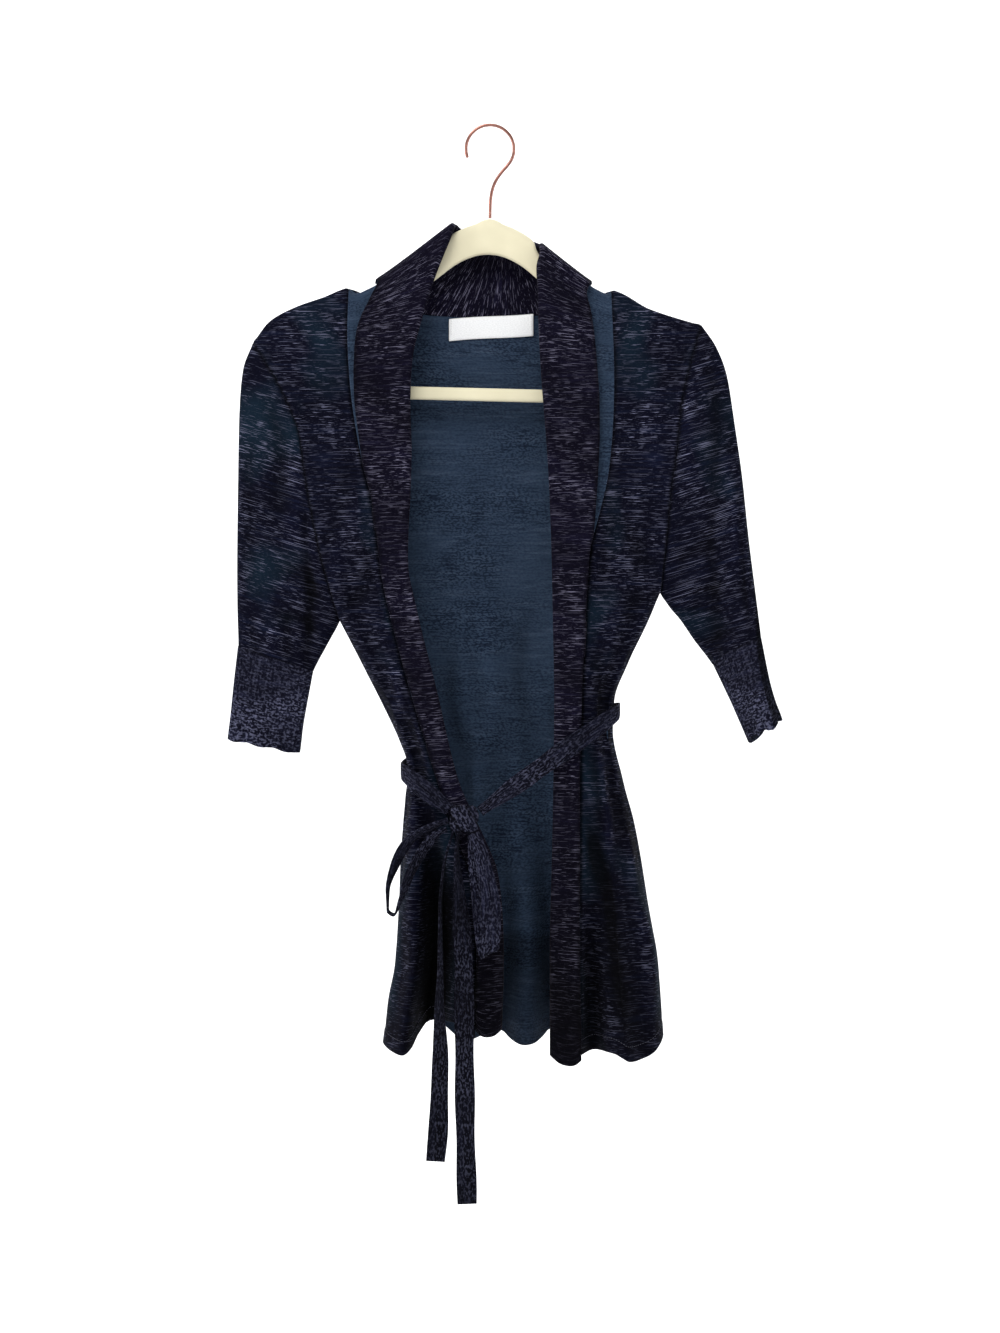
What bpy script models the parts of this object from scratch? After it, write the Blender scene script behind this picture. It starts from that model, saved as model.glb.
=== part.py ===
"""A knitted wrap cardigan with its tied sash, hanging on a slim clothes hanger.

Sizes are in millimetres, +Z is up and the front of the cardigan faces -Y. The origin is the inside of
the crown of the hanger's hook, which is where a rail carries everything. Left and right are the wearer's,
so the left side is at +X. Each piece of cloth is one wall, worked out from a few sections down the garment.
"""

import math

import bmesh
import bpy
import numpy as np

MM = 0.001
CLOTH_WALL = 1.6
SEAM_GAP = 0.3
NECK_SEAM_GAP = 0.9
SASH_WIDTH = 17.0
SASH_THICKNESS = 2.0

HOOK_RADIUS = 21.6
HOOK_WIRE = 3.0
HANGER_THICKNESS = 5.0
HANGER_TILT = math.radians(1.4)

ROWS_BELOW_UNDERARM = 15
ROWS_ABOVE_UNDERARM = 12
FRONT_COLUMNS = 16
SHOULDER_COLUMNS = 8
NECK_COLUMNS = 14
SLEEVE_ROWS = 9
CUFF_ROWS = 3

SIDE_ROUND = 22.0
ROLL_RADIUS = 2.6
PRESSED_ROLL_RADIUS = 1.3
PRESSED_WITHIN = 9.0
SAG_FADE = 0.3
NEAR_SEAM = 0.13
NECK_CORNER_Z = -215.0
NECK_STEP = 9.0
ARMHOLE_BLUNTNESS = (2.4, 4.0)
SHOULDER_DRAW = 1.6
SEAM_DRAW = 1.5
SLEEVE_HEAD = 0.3

NAVY = (0.012, 0.013, 0.024)
PLUM_NAVY = (0.018, 0.015, 0.024)
RIB_GREY = (0.040, 0.038, 0.062)
LABEL_WHITE = (0.80, 0.80, 0.78)
HANGER_CREAM = (0.82, 0.76, 0.58)
COPPER = (0.72, 0.36, 0.26)


class Table:
    """Rows of named columns, read as smooth curves through the rows."""

    def __init__(self, names, rows):
        values = np.array(rows, dtype=float)
        self.columns = {name: values[:, i] for i, name in enumerate(names.split())}

    def read(self, name, key, at):
        """The named column where the key column has the value at, in rising or falling order."""
        keys, values = self.columns[key], self.columns[name]
        if keys[0] > keys[-1]:
            keys, values = keys[::-1], values[::-1]
        return monotone_curve(keys, values, float(at))

    def along(self, names, count):
        """Points spread evenly along the smooth path through the rows."""
        rows = np.stack([self.columns[name] for name in names.split()], axis=1)
        steps = np.linalg.norm(np.diff(rows[:, :3], axis=0), axis=1)
        reach = np.concatenate(([0.0], np.cumsum(steps))) / steps.sum()
        stops = np.linspace(0.0, 1.0, count)
        return np.array([[monotone_curve(reach, rows[:, i], s) for i in range(rows.shape[1])] for s in stops])


def monotone_curve(xs, ys, x):
    """A smooth curve through the points that never swings past them."""
    x = min(max(x, xs[0]), xs[-1])
    gaps = np.diff(xs)
    slopes = np.diff(ys) / gaps
    tangents = np.zeros(len(xs))
    tangents[0], tangents[-1] = slopes[0], slopes[-1]
    for i in range(1, len(xs) - 1):
        if slopes[i - 1] * slopes[i] > 0.0:
            near, far = 2 * gaps[i] + gaps[i - 1], gaps[i] + 2 * gaps[i - 1]
            tangents[i] = (near + far) / (near / slopes[i - 1] + far / slopes[i])
    k = min(int(np.searchsorted(xs, x, side="right")) - 1, len(xs) - 2)
    t = (x - xs[k]) / gaps[k]
    start = (1 + 2 * t) * (1 - t) ** 2 * ys[k] + t * (1 - t) ** 2 * gaps[k] * tangents[k]
    return start + t * t * (3 - 2 * t) * ys[k + 1] + t * t * (t - 1) * gaps[k] * tangents[k + 1]


def smooth_step(t):
    t = min(max(t, 0.0), 1.0)
    return t * t * (3 - 2 * t)


def unit(vectors):
    return vectors / np.maximum(np.linalg.norm(vectors, axis=-1, keepdims=True), 1e-9)


# Sections of the garment, from the photograph's outline

HALF_DEPTH = Table("z front back", [
    (-160, 11, 12),
    (-240, 13, 16),
    (-330, 16, 20),
    (-440, 20, 25),
    (-520, 27, 30),
    (-575, 29, 31),
    (-660, 32, 33),
    (-760, 35, 35),
    (-850, 36, 36),
])

LEFT = {
    "side": Table("z x", [
        (-816, 155.5), (-769, 152), (-697, 142), (-625, 129.6), (-589, 119.7),
        (-544, 110.7), (-517, 111.6), (-481, 125), (-445, 142), (-419.4, 153)]),
    "armhole": Table("x z", [
        (153, -419.4), (158.5, -370), (163, -321), (167, -299), (171, -256), (178, -221), (190, -179)]),
    "edge": Table("z x", [
        (-842, 81), (-730, 80), (-600, 80), (-514, 82), (-445, 85.5), (-380, 90), (-337, 101.5),
        (-296, 108.5), (-229, 111.5), (-148, 109)]),
    "neck_z": -148.0,
}
RIGHT = {
    "side": Table("z x", [
        (-823, -96), (-787, -91), (-750, -84), (-660, -80.5), (-607, -76.5), (-578, -73),
        (-553, -81), (-517, -98), (-481, -116), (-444.6, -135)]),
    "armhole": Table("x z", [
        (-135, -444.6), (-151, -390), (-162, -336.6), (-168, -300.6), (-171, -279), (-191.7, -229.5),
        (-213.3, -195.3)]),
    "edge": Table("z x", [
        (-814, -13.5), (-742, -12), (-679, -15), (-634, -31), (-589, -45), (-508, -71), (-391, -99),
        (-346, -104), (-310, -113), (-274, -120), (-238, -125), (-188, -128), (-146, -127)]),
    "neck_z": -146.0,
}

SHOULDER_AND_NECKLINE = Table("x z", [
    (-213.3, -195.3), (-198, -175.5), (-175.5, -163), (-150, -154), (-127, -146), (-100, -157), (-50, -168),
    (0, -170.5), (50, -167), (88, -157), (109, -148), (144, -164.7), (180, -176.3), (190, -179)])

LEFT_FOLDS = Table("across half_width depth top full", [
    (0.86, 0.20, -20, -640, -800),
    (0.46, 0.30, 12, -640, -810),
    (0.30, 0.22, -7, -300, -480),
])
RIGHT_FOLDS = Table("across half_width depth top full", [
    (0.55, 0.30, -34, -610, -740),
    (0.22, 0.14, 6, -640, -780),
    (0.45, 0.30, -6, -330, -480),
])
BACK_FOLDS = Table("across half_width depth top full", [
    (0.13, 0.09, 12, -620, -800),
    (0.25, 0.10, -26, -590, -800),
    (0.39, 0.09, 13, -620, -800),
    (0.51, 0.09, -27, -600, -800),
    (0.64, 0.09, 14, -600, -790),
    (0.76, 0.10, -25, -590, -800),
    (0.88, 0.08, 10, -640, -800),
    (0.35, 0.10, -5, -420, -520),
    (0.70, 0.11, -6, -380, -500),
])

LEFT_ROLL = Table("seam_z x z fall sag", [
    (-842, 53, -836, 27, 0),
    (-740, 53, -738, 27, 0),
    (-650, 55, -650, 26, 0),
    (-570, 56.5, -570, 24, 0),
    (-514, 57, -514, 24.5, 0),
    (-445, 56, -445, 29, 0),
    (-391, 55, -391, 34, 0),
    (-310, 52, -310, 43, 0),
    (-245, 47, -244, 49, 0),
    (-202, 44, -196, 49, 0),
    (-175, 42.5, -155, 48, 0),
    (-157, 42, -121, 47, 0),
    (-148, 45, -108, 52, 1.5),
])
RIGHT_ROLL = Table("seam_z x z fall sag", [
    (-814, 11, -812, 24, 0),
    (-742, 12.5, -740, 24, 0),
    (-679, 9, -678, 23, 0),
    (-634, -8, -630, 21, 0),
    (-602, -23, -600, 17, 0),
    (-580, -30, -579, 19, 0),
    (-508, -47, -507, 24, 0),
    (-436, -65, -435, 25, 0),
    (-391, -73, -390, 27, 0),
    (-346, -71.5, -345, 34, 0),
    (-310, -69.5, -309, 42, 0),
    (-242, -71, -241, 49, 0),
    (-206, -67.5, -200, 52, 0),
    (-175, -57, -165, 58, 2),
    (-155, -39, -110, 66, 6),
    (-151, -33, -98, 74, 7),
    (-146, -30, -89.6, 80, 6),
])
BACK_ROLL = Table("across y z", [
    (0.0, 0, -110),
    (0.12, 13, -103),
    (0.3, 19, -99),
    (0.5, 20, -97),
    (0.7, 18, -96),
    (0.88, 11, -93.5),
    (1.0, 0, -89.6),
])

LEFT_SLEEVE = Table("t outer_x outer_y outer_z inner_x inner_y inner_z front back lift", [
    (0.0, 190, 0, -179, 153, 0, -419.4, 16, 16, 0),
    (0.12, 203, 0, -198, 155.5, 0, -424, 16, 16, 0),
    (0.25, 213, 0, -224, 158.5, 1, -428, 15, 16, 0),
    (0.4, 219.5, -2, -264, 163, 3, -434, 14, 16, 0),
    (0.6, 226.5, -8, -322, 172, 7, -444, 12, 16, 2),
    (0.8, 230.5, -16, -385, 186, 13, -463, 10, 16, 5),
    (1.0, 236.5, -26, -462, 203.8, 20, -484, 9, 14, 7),
])
LEFT_CUFF = Table("t outer_x outer_y outer_z inner_x inner_y inner_z front back lift", [
    (0.0, 236.5, -26, -462, 203.8, 20, -484, 9, 14, 7),
    (0.5, 243, -28, -503, 221, 22, -519, 8, 13, 9),
    (1.0, 252, -29, -541, 238, 23, -556, 8, 12, 12),
])
RIGHT_SLEEVE = Table("t outer_x outer_y outer_z inner_x inner_y inner_z front back lift", [
    (0.0, -213.3, 0, -195.3, -135, 0, -444.6, 16, 16, 0),
    (0.15, -222, 0, -219, -138, 0, -451, 15, 16, 0),
    (0.35, -225.5, 0, -258, -143, 0, -460, 14, 15, 0),
    (0.6, -226.8, 0, -330, -149, 0, -471, 13, 14, 0),
    (0.8, -227.5, 0, -400, -154, 0, -480, 12, 13, 0),
    (1.0, -226.8, 0, -467, -159, 0, -490, 10, 11, 0),
])
RIGHT_CUFF = Table("t outer_x outer_y outer_z inner_x inner_y inner_z front back lift", [
    (0.0, -226.8, 0, -467, -159, 0, -490, 10, 11, 0),
    (0.5, -231.3, -2, -508, -165, -2, -523, 10, 10, 0),
    (1.0, -235, -4, -551, -172, -4, -563.5, 10, 10, 0),
])


def armhole_stops():
    """Places up the armhole from underarm to shoulder, closer together where it rounds over."""
    steps = ROWS_ABOVE_UNDERARM
    return [0.5 - 0.5 * math.cos(math.pi * k / steps) for k in range(steps + 1)]


def armhole_share(w):
    """How far the armhole stands off the middle plane, from 0 at its two ends to 1 between them."""
    bluntness = ARMHOLE_BLUNTNESS[0] if w < 0.5 else ARMHOLE_BLUNTNESS[1]
    return max(0.0, 1.0 - abs(2 * w - 1) ** bluntness) ** (1.0 / bluntness)


def armhole_line(side):
    """The armhole's points in the front view."""
    path = side["armhole"]
    reach = np.concatenate(([0.0], np.cumsum(np.hypot(np.diff(path.columns["x"]), np.diff(path.columns["z"])))))
    reach /= reach[-1]
    xs = np.array([monotone_curve(reach, path.columns["x"], w) for w in armhole_stops()])
    zs = np.array([monotone_curve(reach, path.columns["z"], w) for w in armhole_stops()])
    return xs, zs


def body_rows(side):
    """Each row's outer end: x, z, how far up the armhole it is, and the share that the armhole stands off."""
    xs, zs = armhole_line(side)
    hem_z = side["side"].columns["z"][0]
    rows = []
    for i in range(ROWS_BELOW_UNDERARM):
        z = hem_z + (zs[0] - hem_z) * i / ROWS_BELOW_UNDERARM
        rows.append((side["side"].read("x", "z", z), z, None, 0.0))
    for x, z, w in zip(xs, zs, armhole_stops()):
        rows.append((x, z, w, armhole_share(w)))
    return rows


def round_side(across, reach):
    """A quarter round that starts at the side seam and is full at reach."""
    inner = 1.0 - min(1.0, across / reach)
    return math.sqrt(max(0.0, 1.0 - inner * inner))


def fold_depth(folds, across, z):
    """All folds added up: each a soft ridge or trough that grows on its way down to the hem."""
    total = 0.0
    for centre, half, depth, top, full in zip(*(folds.columns[n] for n in
                                                ("across", "half_width", "depth", "top", "full"))):
        off = abs(across - centre) / half
        if off < 1.0:
            total += depth * 0.5 * (1 + math.cos(math.pi * off)) * smooth_step((top - z) / (top - full))
    return total


def front_points(side, folds):
    """A front's outer points, one row from the side seam or armhole to the collar seam."""
    rows = body_rows(side)
    underarm_z, shoulder_z = rows[ROWS_BELOW_UNDERARM][1], rows[-1][1]
    hem_z, hem_edge_z = rows[0][1], side["edge"].columns["z"][0]
    points = np.zeros((len(rows), FRONT_COLUMNS + 1, 3))
    for i, (side_x, side_z, w, share) in enumerate(rows):
        if w is None:
            edge_z = hem_edge_z + (underarm_z - hem_edge_z) * (side_z - hem_z) / (underarm_z - hem_z)
            top_share = 1.0
        else:
            progress = (side_z - underarm_z) / (shoulder_z - underarm_z)
            edge_z = underarm_z + (side["neck_z"] - underarm_z) * progress
            top_share = armhole_share(max(w, 0.5))
        edge_x = side["edge"].read("x", "z", edge_z)
        for j in range(FRONT_COLUMNS + 1):
            across = (j / FRONT_COLUMNS) ** SEAM_DRAW
            x = side_x + (edge_x - side_x) * across
            z = side_z + (edge_z - side_z) * across
            if w is not None:
                line_z = shoulder_z + (side["neck_z"] - shoulder_z) * across
                top_z = SHOULDER_AND_NECKLINE.read("z", "x", shoulder_x(side, across))
                z += (top_z - line_z) * progress ** 3
            stand = share + (top_share - share) * round_side(across, SIDE_ROUND / abs(edge_x - side_x))
            depth = HALF_DEPTH.read("front", "z", z) * stand + fold_depth(folds, across, z)
            points[i, j] = (x, -max(depth, SEAM_GAP / 2), z)
    return points


def shoulder_x(side, across):
    """Where a column meets the shoulder seam."""
    start = side["armhole"].columns["x"][-1]
    end = side["edge"].columns["x"][-1]
    return start + (end - start) * across


def back_columns():
    """Places across the back, with one column exactly at each end of the neckline."""
    left, right = RIGHT["armhole"].columns["x"][-1], LEFT["armhole"].columns["x"][-1]
    neck_start = (RIGHT["edge"].columns["x"][-1] - left) / (right - left)
    neck_end = (LEFT["edge"].columns["x"][-1] - left) / (right - left)
    drawn = [(j / SHOULDER_COLUMNS) ** SHOULDER_DRAW for j in range(SHOULDER_COLUMNS + 1)]
    stops = [neck_start * share for share in drawn[:-1]]
    stops += [neck_start + (neck_end - neck_start) * j / NECK_COLUMNS for j in range(NECK_COLUMNS)]
    stops += [1 - (1 - neck_end) * share for share in drawn[::-1]]
    return stops


def back_points():
    """The back's outer points, row by row from the right side to the left."""
    rows_right = body_rows(RIGHT)
    rows_left = body_rows(LEFT)
    stops = back_columns()
    points = np.zeros((len(rows_right), len(stops), 3))
    shoulder_right, shoulder_left = rows_right[-1], rows_left[-1]
    under_right, under_left = rows_right[ROWS_BELOW_UNDERARM], rows_left[ROWS_BELOW_UNDERARM]
    for i, (start, end) in enumerate(zip(rows_right, rows_left)):
        for j, across in enumerate(stops):
            x = start[0] + (end[0] - start[0]) * across
            z = start[1] + (end[1] - start[1]) * across
            share = start[3] + (end[3] - start[3]) * across
            top_share = 1.0
            neck = 0.0
            if start[2] is not None:
                line_z = shoulder_right[1] + (shoulder_left[1] - shoulder_right[1]) * across
                under_z = under_right[1] + (under_left[1] - under_right[1]) * across
                progress = (z - under_z) / (line_z - under_z)
                top_x = shoulder_right[0] + (shoulder_left[0] - shoulder_right[0]) * across
                z += (SHOULDER_AND_NECKLINE.read("z", "x", top_x) - line_z) * progress ** 3
                neck = neck_share(top_x)
                top_share = armhole_share(max(start[2], 0.5))
                top_share += (1.0 - top_share) * neck
            rounding = round_side(min(across, 1 - across), SIDE_ROUND / (end[0] - start[0]))
            stand = share + (top_share - share) * rounding
            depth = HALF_DEPTH.read("back", "z", z) * stand + fold_depth(BACK_FOLDS, across, z)
            points[i, j] = (x, max(depth, SEAM_GAP / 2), z)
    return points


def neck_share(x):
    """0 on the shoulder seams, rising to 1 at the middle of the back neckline."""
    start, end = RIGHT["edge"].columns["x"][-1], LEFT["edge"].columns["x"][-1]
    middle, half = (start + end) / 2, (end - start) / 2
    off = abs(x - middle) / half
    return math.sqrt(max(0.0, 1.0 - min(1.0, off) ** 2))


def grid_normals(points, ring=False):
    """Normals of a grid of points, from its rows and columns."""
    down = np.gradient(points, axis=0)
    if ring:
        around = np.roll(points, -1, axis=1) - np.roll(points, 1, axis=1)
    else:
        around = np.gradient(points, axis=1)
    return unit(np.cross(around, down))


def flatten(normals, axis):
    """Normals laid in a seam's plane, so that two pieces meet there face to face."""
    flat = normals.copy()
    flat[..., axis] = 0.0
    return unit(flat)


def armhole_normals(side):
    """On the armhole both pieces are thickened in the armhole's own plane."""
    xs, zs = armhole_line(side)
    stops = armhole_stops()
    along = unit(np.stack([np.gradient(xs), np.zeros(len(xs)), np.gradient(zs)], axis=1))
    shares = np.array([armhole_share(w) for w in stops])
    reach = np.concatenate(([0.0], np.cumsum(np.hypot(np.diff(xs), np.diff(zs)))))
    depths = shares * np.array([HALF_DEPTH.read("front", "z", z) for z in zs])
    slope = np.gradient(depths, reach)
    normals = -along * slope[:, None]
    normals[:, 1] = -1.0
    normals[0], normals[-1] = -along[0], along[-1]
    return unit(normals)


def down_sleeve(side):
    """In the front view, the direction across the armhole seam and into the sleeve."""
    xs, zs = armhole_line(side)
    along = unit(np.stack([np.gradient(xs), np.zeros(len(xs)), np.gradient(zs)], axis=1))
    outward = np.stack([-along[:, 2], np.zeros(len(xs)), along[:, 0]], axis=1)
    return outward if outward[:, 0].mean() * xs.mean() > 0 else -outward


def build_mesh(name, vertices, faces, colour, roughness=0.9, metallic=0.0, smooth=True):
    """One closed solid, its faces turned outwards, with its own material."""
    work = bmesh.new()
    placed = [work.verts.new([float(c) * MM for c in v]) for v in vertices]
    for face in faces:
        work.faces.new([placed[i] for i in face])
    bmesh.ops.recalc_face_normals(work, faces=work.faces)
    mesh = bpy.data.meshes.new(name)
    work.to_mesh(mesh)
    work.free()
    if smooth:
        mesh.shade_smooth()
    material = bpy.data.materials.new(name)
    material.use_nodes = True
    shader = material.node_tree.nodes["Principled BSDF"]
    shader.inputs["Base Color"].default_value = (*colour, 1.0)
    shader.inputs["Roughness"].default_value = roughness
    shader.inputs["Metallic"].default_value = metallic
    mesh.materials.append(material)
    thing = bpy.data.objects.new(name, mesh)
    bpy.context.scene.collection.objects.link(thing)
    return thing


def build_wall(name, outer, inner, colour, ring=False):
    """A wall between two matching grids of points, closed along its rims."""
    rows, columns = outer.shape[:2]
    vertices = list(outer.reshape(-1, 3)) + list(inner.reshape(-1, 3))
    shift = rows * columns
    faces = []
    last = columns if ring else columns - 1
    for i in range(rows - 1):
        for j in range(last):
            a, b = i * columns + j, i * columns + (j + 1) % columns
            c, d = b + columns, a + columns
            faces += [(a, b, c, d), (shift + d, shift + c, shift + b, shift + a)]
    for i in (0, rows - 1):
        for j in range(last):
            a, b = i * columns + j, i * columns + (j + 1) % columns
            faces.append((a, b, shift + b, shift + a))
    if not ring:
        for j in (0, columns - 1):
            for i in range(rows - 1):
                a, b = i * columns + j, (i + 1) * columns + j
                faces.append((a, b, shift + b, shift + a))
    return build_mesh(name, vertices, faces, colour)


def build_front(name, side, folds):
    """One front: side seam and armhole at one edge, shoulder seam on top, collar seam at the other."""
    outer = front_points(side, folds)
    normals = grid_normals(outer)
    normals *= -np.sign(normals[..., 1].mean())
    normals[:ROWS_BELOW_UNDERARM, 0] = flatten(normals[:ROWS_BELOW_UNDERARM, 0], 1)
    normals[-1] = flatten(normals[-1], 1)
    normals[ROWS_BELOW_UNDERARM:, 0] = armhole_normals(side)
    outer[ROWS_BELOW_UNDERARM:, 0] -= down_sleeve(side) * SEAM_GAP / 2
    build_wall(name, outer, outer - normals * CLOTH_WALL, NAVY)
    return outer, normals


def build_back():
    """The back, hem to neckline, with both armholes and both shoulder seams."""
    outer = back_points()
    normals = grid_normals(outer)
    normals *= np.sign(normals[..., 1].mean())
    for column, side in ((0, RIGHT), (-1, LEFT)):
        normals[:ROWS_BELOW_UNDERARM, column] = flatten(normals[:ROWS_BELOW_UNDERARM, column], 1)
        mirrored = armhole_normals(side)
        mirrored[:, 1] *= -1.0
        normals[ROWS_BELOW_UNDERARM:, column] = mirrored
        outer[ROWS_BELOW_UNDERARM:, column] -= down_sleeve(side) * SEAM_GAP / 2
    on_shoulder = [j for j in range(outer.shape[1])
                   if j <= SHOULDER_COLUMNS or j >= SHOULDER_COLUMNS + NECK_COLUMNS]
    normals[-1, on_shoulder] = flatten(normals[-1, on_shoulder], 1)
    build_wall("back", outer, outer - normals * CLOTH_WALL, NAVY)
    return outer, normals


def roll_point(table, seam_z):
    return np.array([table.read(n, "seam_z", seam_z) for n in ("x", "z", "fall", "sag")])


def collar_stations(left, right, back):
    """Seam point, wall normal, edge direction, roll point and fall, hem to hem round the neck."""
    stations = []
    neck = range(SHOULDER_COLUMNS + NECK_COLUMNS - 1, SHOULDER_COLUMNS, -1)
    for points, normals, table, order in ((left[0], left[1], LEFT_ROLL, 1), (right[0], right[1], RIGHT_ROLL, -1)):
        group = []
        for i in range(len(points)):
            seam = points[i, -1]
            x, z, fall, sag = roll_point(table, seam[2])
            roll = np.array([x, seam[1], z])
            pressed = max(0.0, 1.0 - abs(seam[1]) / PRESSED_WITHIN)
            group.append((seam, normals[i, -1], unit(seam - points[i, -2]), roll, fall, sag, pressed))
        if order == 1:
            stations += group
            for step, j in enumerate(neck):
                share = (step + 1) / NECK_COLUMNS
                seam = back[0][-1, j]
                start = roll_point(LEFT_ROLL, LEFT["neck_z"])
                end = roll_point(RIGHT_ROLL, RIGHT["neck_z"])
                x = start[0] + (end[0] - start[0]) * share
                roll = np.array([x, BACK_ROLL.read("y", "across", share), BACK_ROLL.read("z", "across", share)])
                fall = start[2] + (end[2] - start[2]) * share
                up = unit(seam - back[0][-2, j])
                pressed = max(0.0, 1.0 - abs(roll[1]) / PRESSED_WITHIN)
                sag = start[3] * smooth_step(1 - share / SAG_FADE)
                sag += end[3] * smooth_step(1 - (1 - share) / SAG_FADE)
                stations.append((seam, back[1][-1, j], up, roll, fall, sag, pressed))
        else:
            stations += group[::-1]
    return stations


def closer_stations(stations, gaps):
    """More stations where the roll turns from the fronts over the shoulders to the back neck."""
    fuller = []
    rolls = [s[3] for s in stations]
    for i in range(len(stations) - 1):
        here, there = stations[i], stations[i + 1]
        before, after = rolls[max(i - 1, 0)], rolls[min(i + 2, len(rolls) - 1)]
        near_neck = here[0][2] > NECK_CORNER_Z and there[0][2] > NECK_CORNER_Z
        pieces = math.ceil(np.linalg.norm(there[3] - here[3]) / NECK_STEP) if near_neck else 1
        for step in range(pieces):
            t = step / pieces
            values = [a + (b - a) * t for a, b in zip((*here, gaps[i]), (*there, gaps[i + 1]))]
            values[1], values[2] = unit(values[1]), unit(values[2])
            pull = (there[3] - before) * (t - 2 * t * t + t ** 3) + (after - here[3]) * (t ** 3 - t * t)
            values[3] = here[3] + (there[3] - here[3]) * (3 * t * t - 2 * t ** 3) + pull / 2
            fuller.append(values)
    fuller.append([*stations[-1], gaps[-1]])
    return fuller


def build_collar(left, right, back):
    """One strip from hem to hem, seamed along one edge and rolled over so that its free edge lies outside."""
    stations = collar_stations(left, right, back)
    front_rows = len(left[0]) - 1
    gaps = [SEAM_GAP if i < front_rows or i >= len(stations) - front_rows else NECK_SEAM_GAP
            for i in range(len(stations))]
    stations = closer_stations(stations, gaps)
    rolls = np.array([s[3] for s in stations])
    along = unit(np.gradient(rolls, axis=0))
    outer = np.zeros((len(stations), 10, 3))
    seam_normals = []
    for i, (seam, normal, edge, roll, fall, sag, pressed, gap) in enumerate(stations):
        start = seam + edge * gap
        straight = unit(roll - start)
        out = unit(np.cross(along[i], straight))
        reach = unit(np.cross(out, along[i]))
        radius = ROLL_RADIUS + (PRESSED_ROLL_RADIUS - ROLL_RADIUS) * pressed
        turn = roll - reach * (radius + CLOTH_WALL)
        arc = [turn + reach * radius * math.sin(a) + out * radius * (1 - math.cos(a))
               for a in (0.0, math.pi / 4, math.pi / 2, 3 * math.pi / 4, math.pi)]
        length = np.linalg.norm(turn - start)
        reached = [min(share * (fall - radius), length) for share in (0.5, 1.0)]
        bend = [np.array([0.0, 0.0, -sag * math.sin(math.pi * part / length)])
                for part in (length * (1 - NEAR_SEAM), length / 2, *reached)]
        near_seam = start + (turn - start) * NEAR_SEAM + bend[0]
        under = (start + turn) / 2 + bend[1]
        over = arc[-1] - straight * reached[0] + bend[2]
        free = arc[-1] - straight * (fall - radius) + bend[3]
        outer[i] = [start, near_seam, under, *arc, over, free]
        seam_normals.append(normal)
    normals = grid_normals(outer)
    facing = np.sum(normals[:, 0] * np.array(seam_normals), axis=1).mean()
    normals *= np.sign(facing)
    normals[:, 0] = seam_normals
    build_wall("collar", outer, outer - normals * CLOTH_WALL, PLUM_NAVY)


def sleeve_rings(table, side, rows, from_armhole):
    """Rings down a sleeve or cuff: an outer and an inner end, bellied to the front and to the back."""
    stops = armhole_stops()
    xs, zs = armhole_line(side)
    reach = np.concatenate(([0.0], np.cumsum(np.hypot(np.diff(xs), np.diff(zs)))))
    shares = reach / reach[-1]
    straight_x = xs[0] + (xs[-1] - xs[0]) * shares
    straight_z = zs[0] + (zs[-1] - zs[0]) * shares
    step_off = down_sleeve(side) * SEAM_GAP / 2
    turned = 1.0 if side is LEFT else -1.0
    rings = np.zeros((rows + 1, 2 * len(stops) - 2, 3))
    for i in range(rows + 1):
        t = i / rows
        row = {name: table.read(name, "t", t) for name in table.columns}
        outer = np.array([row["outer_x"], row["outer_y"], row["outer_z"]])
        inner = np.array([row["inner_x"], row["inner_y"], row["inner_z"]])
        chord = outer - inner
        flat = unit(np.array([chord[0], chord[1], 0.0])) * turned
        to_front = np.array([flat[1], -flat[0], 0.0])
        like_armhole = at_armhole = 0.0
        if from_armhole:
            like_armhole = (1 - t) ** 1.3
            at_armhole = 1.0 if i == 0 else 0.0
            swing = min(1.0, t / SLEEVE_HEAD)
            to_front = unit(np.array([0.0, swing - 1.0, 0.0]) + to_front * swing)
        for k, (w, c) in enumerate(zip(stops, shares)):
            base = inner + chord * c + step_off[k] * at_armhole
            base += np.array([xs[k] - straight_x[k], 0.0, zs[k] - straight_z[k]]) * like_armhole
            front = row["front"] + (HALF_DEPTH.read("front", "z", zs[k]) - row["front"]) * like_armhole
            rear = row["back"] + (HALF_DEPTH.read("back", "z", zs[k]) - row["back"]) * like_armhole
            share = armhole_share(w)
            if not from_armhole or t >= SLEEVE_HEAD:
                share = (share + math.sqrt(max(0.0, 1 - (2 * w - 1) ** 2))) / 2
            lifted = np.array([0.0, 0.0, row["lift"]]) * share
            rings[i, k] = base + to_front * front * share
            if 0 < k < len(stops) - 1:
                rings[i, -k] = base - to_front * rear * share + lifted
    return rings


def build_sleeve(name, table, side):
    """A set-in sleeve, its head sewn into the armhole."""
    rings = sleeve_rings(table, side, SLEEVE_ROWS, True)
    normals = grid_normals(rings, ring=True)
    normals *= np.sign(np.sum(normals * (rings - rings.mean(axis=1, keepdims=True)), axis=2).mean())
    front = armhole_normals(side)
    back = front.copy()
    back[:, 1] *= -1.0
    for k in range(len(front)):
        normals[0, k] = front[k]
        if 0 < k < len(front) - 1:
            normals[0, -k] = back[k]
    build_wall(name, rings, rings - normals * CLOTH_WALL, NAVY, ring=True)
    return rings, normals


def build_cuff(name, table, side, sleeve):
    """A ribbed cuff that carries on from the sleeve's last ring."""
    rings = sleeve_rings(table, side, CUFF_ROWS, False)
    last, before = sleeve[0][-1], sleeve[0][-2]
    rings[0] = last + unit(last - before) * 2 * SEAM_GAP
    normals = grid_normals(rings, ring=True)
    normals *= np.sign(np.sum(normals * (rings - rings.mean(axis=1, keepdims=True)), axis=2).mean())
    normals[0] = sleeve[1][-1]
    build_wall(name, rings, rings - normals * CLOTH_WALL, RIB_GREY, ring=True)


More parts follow.
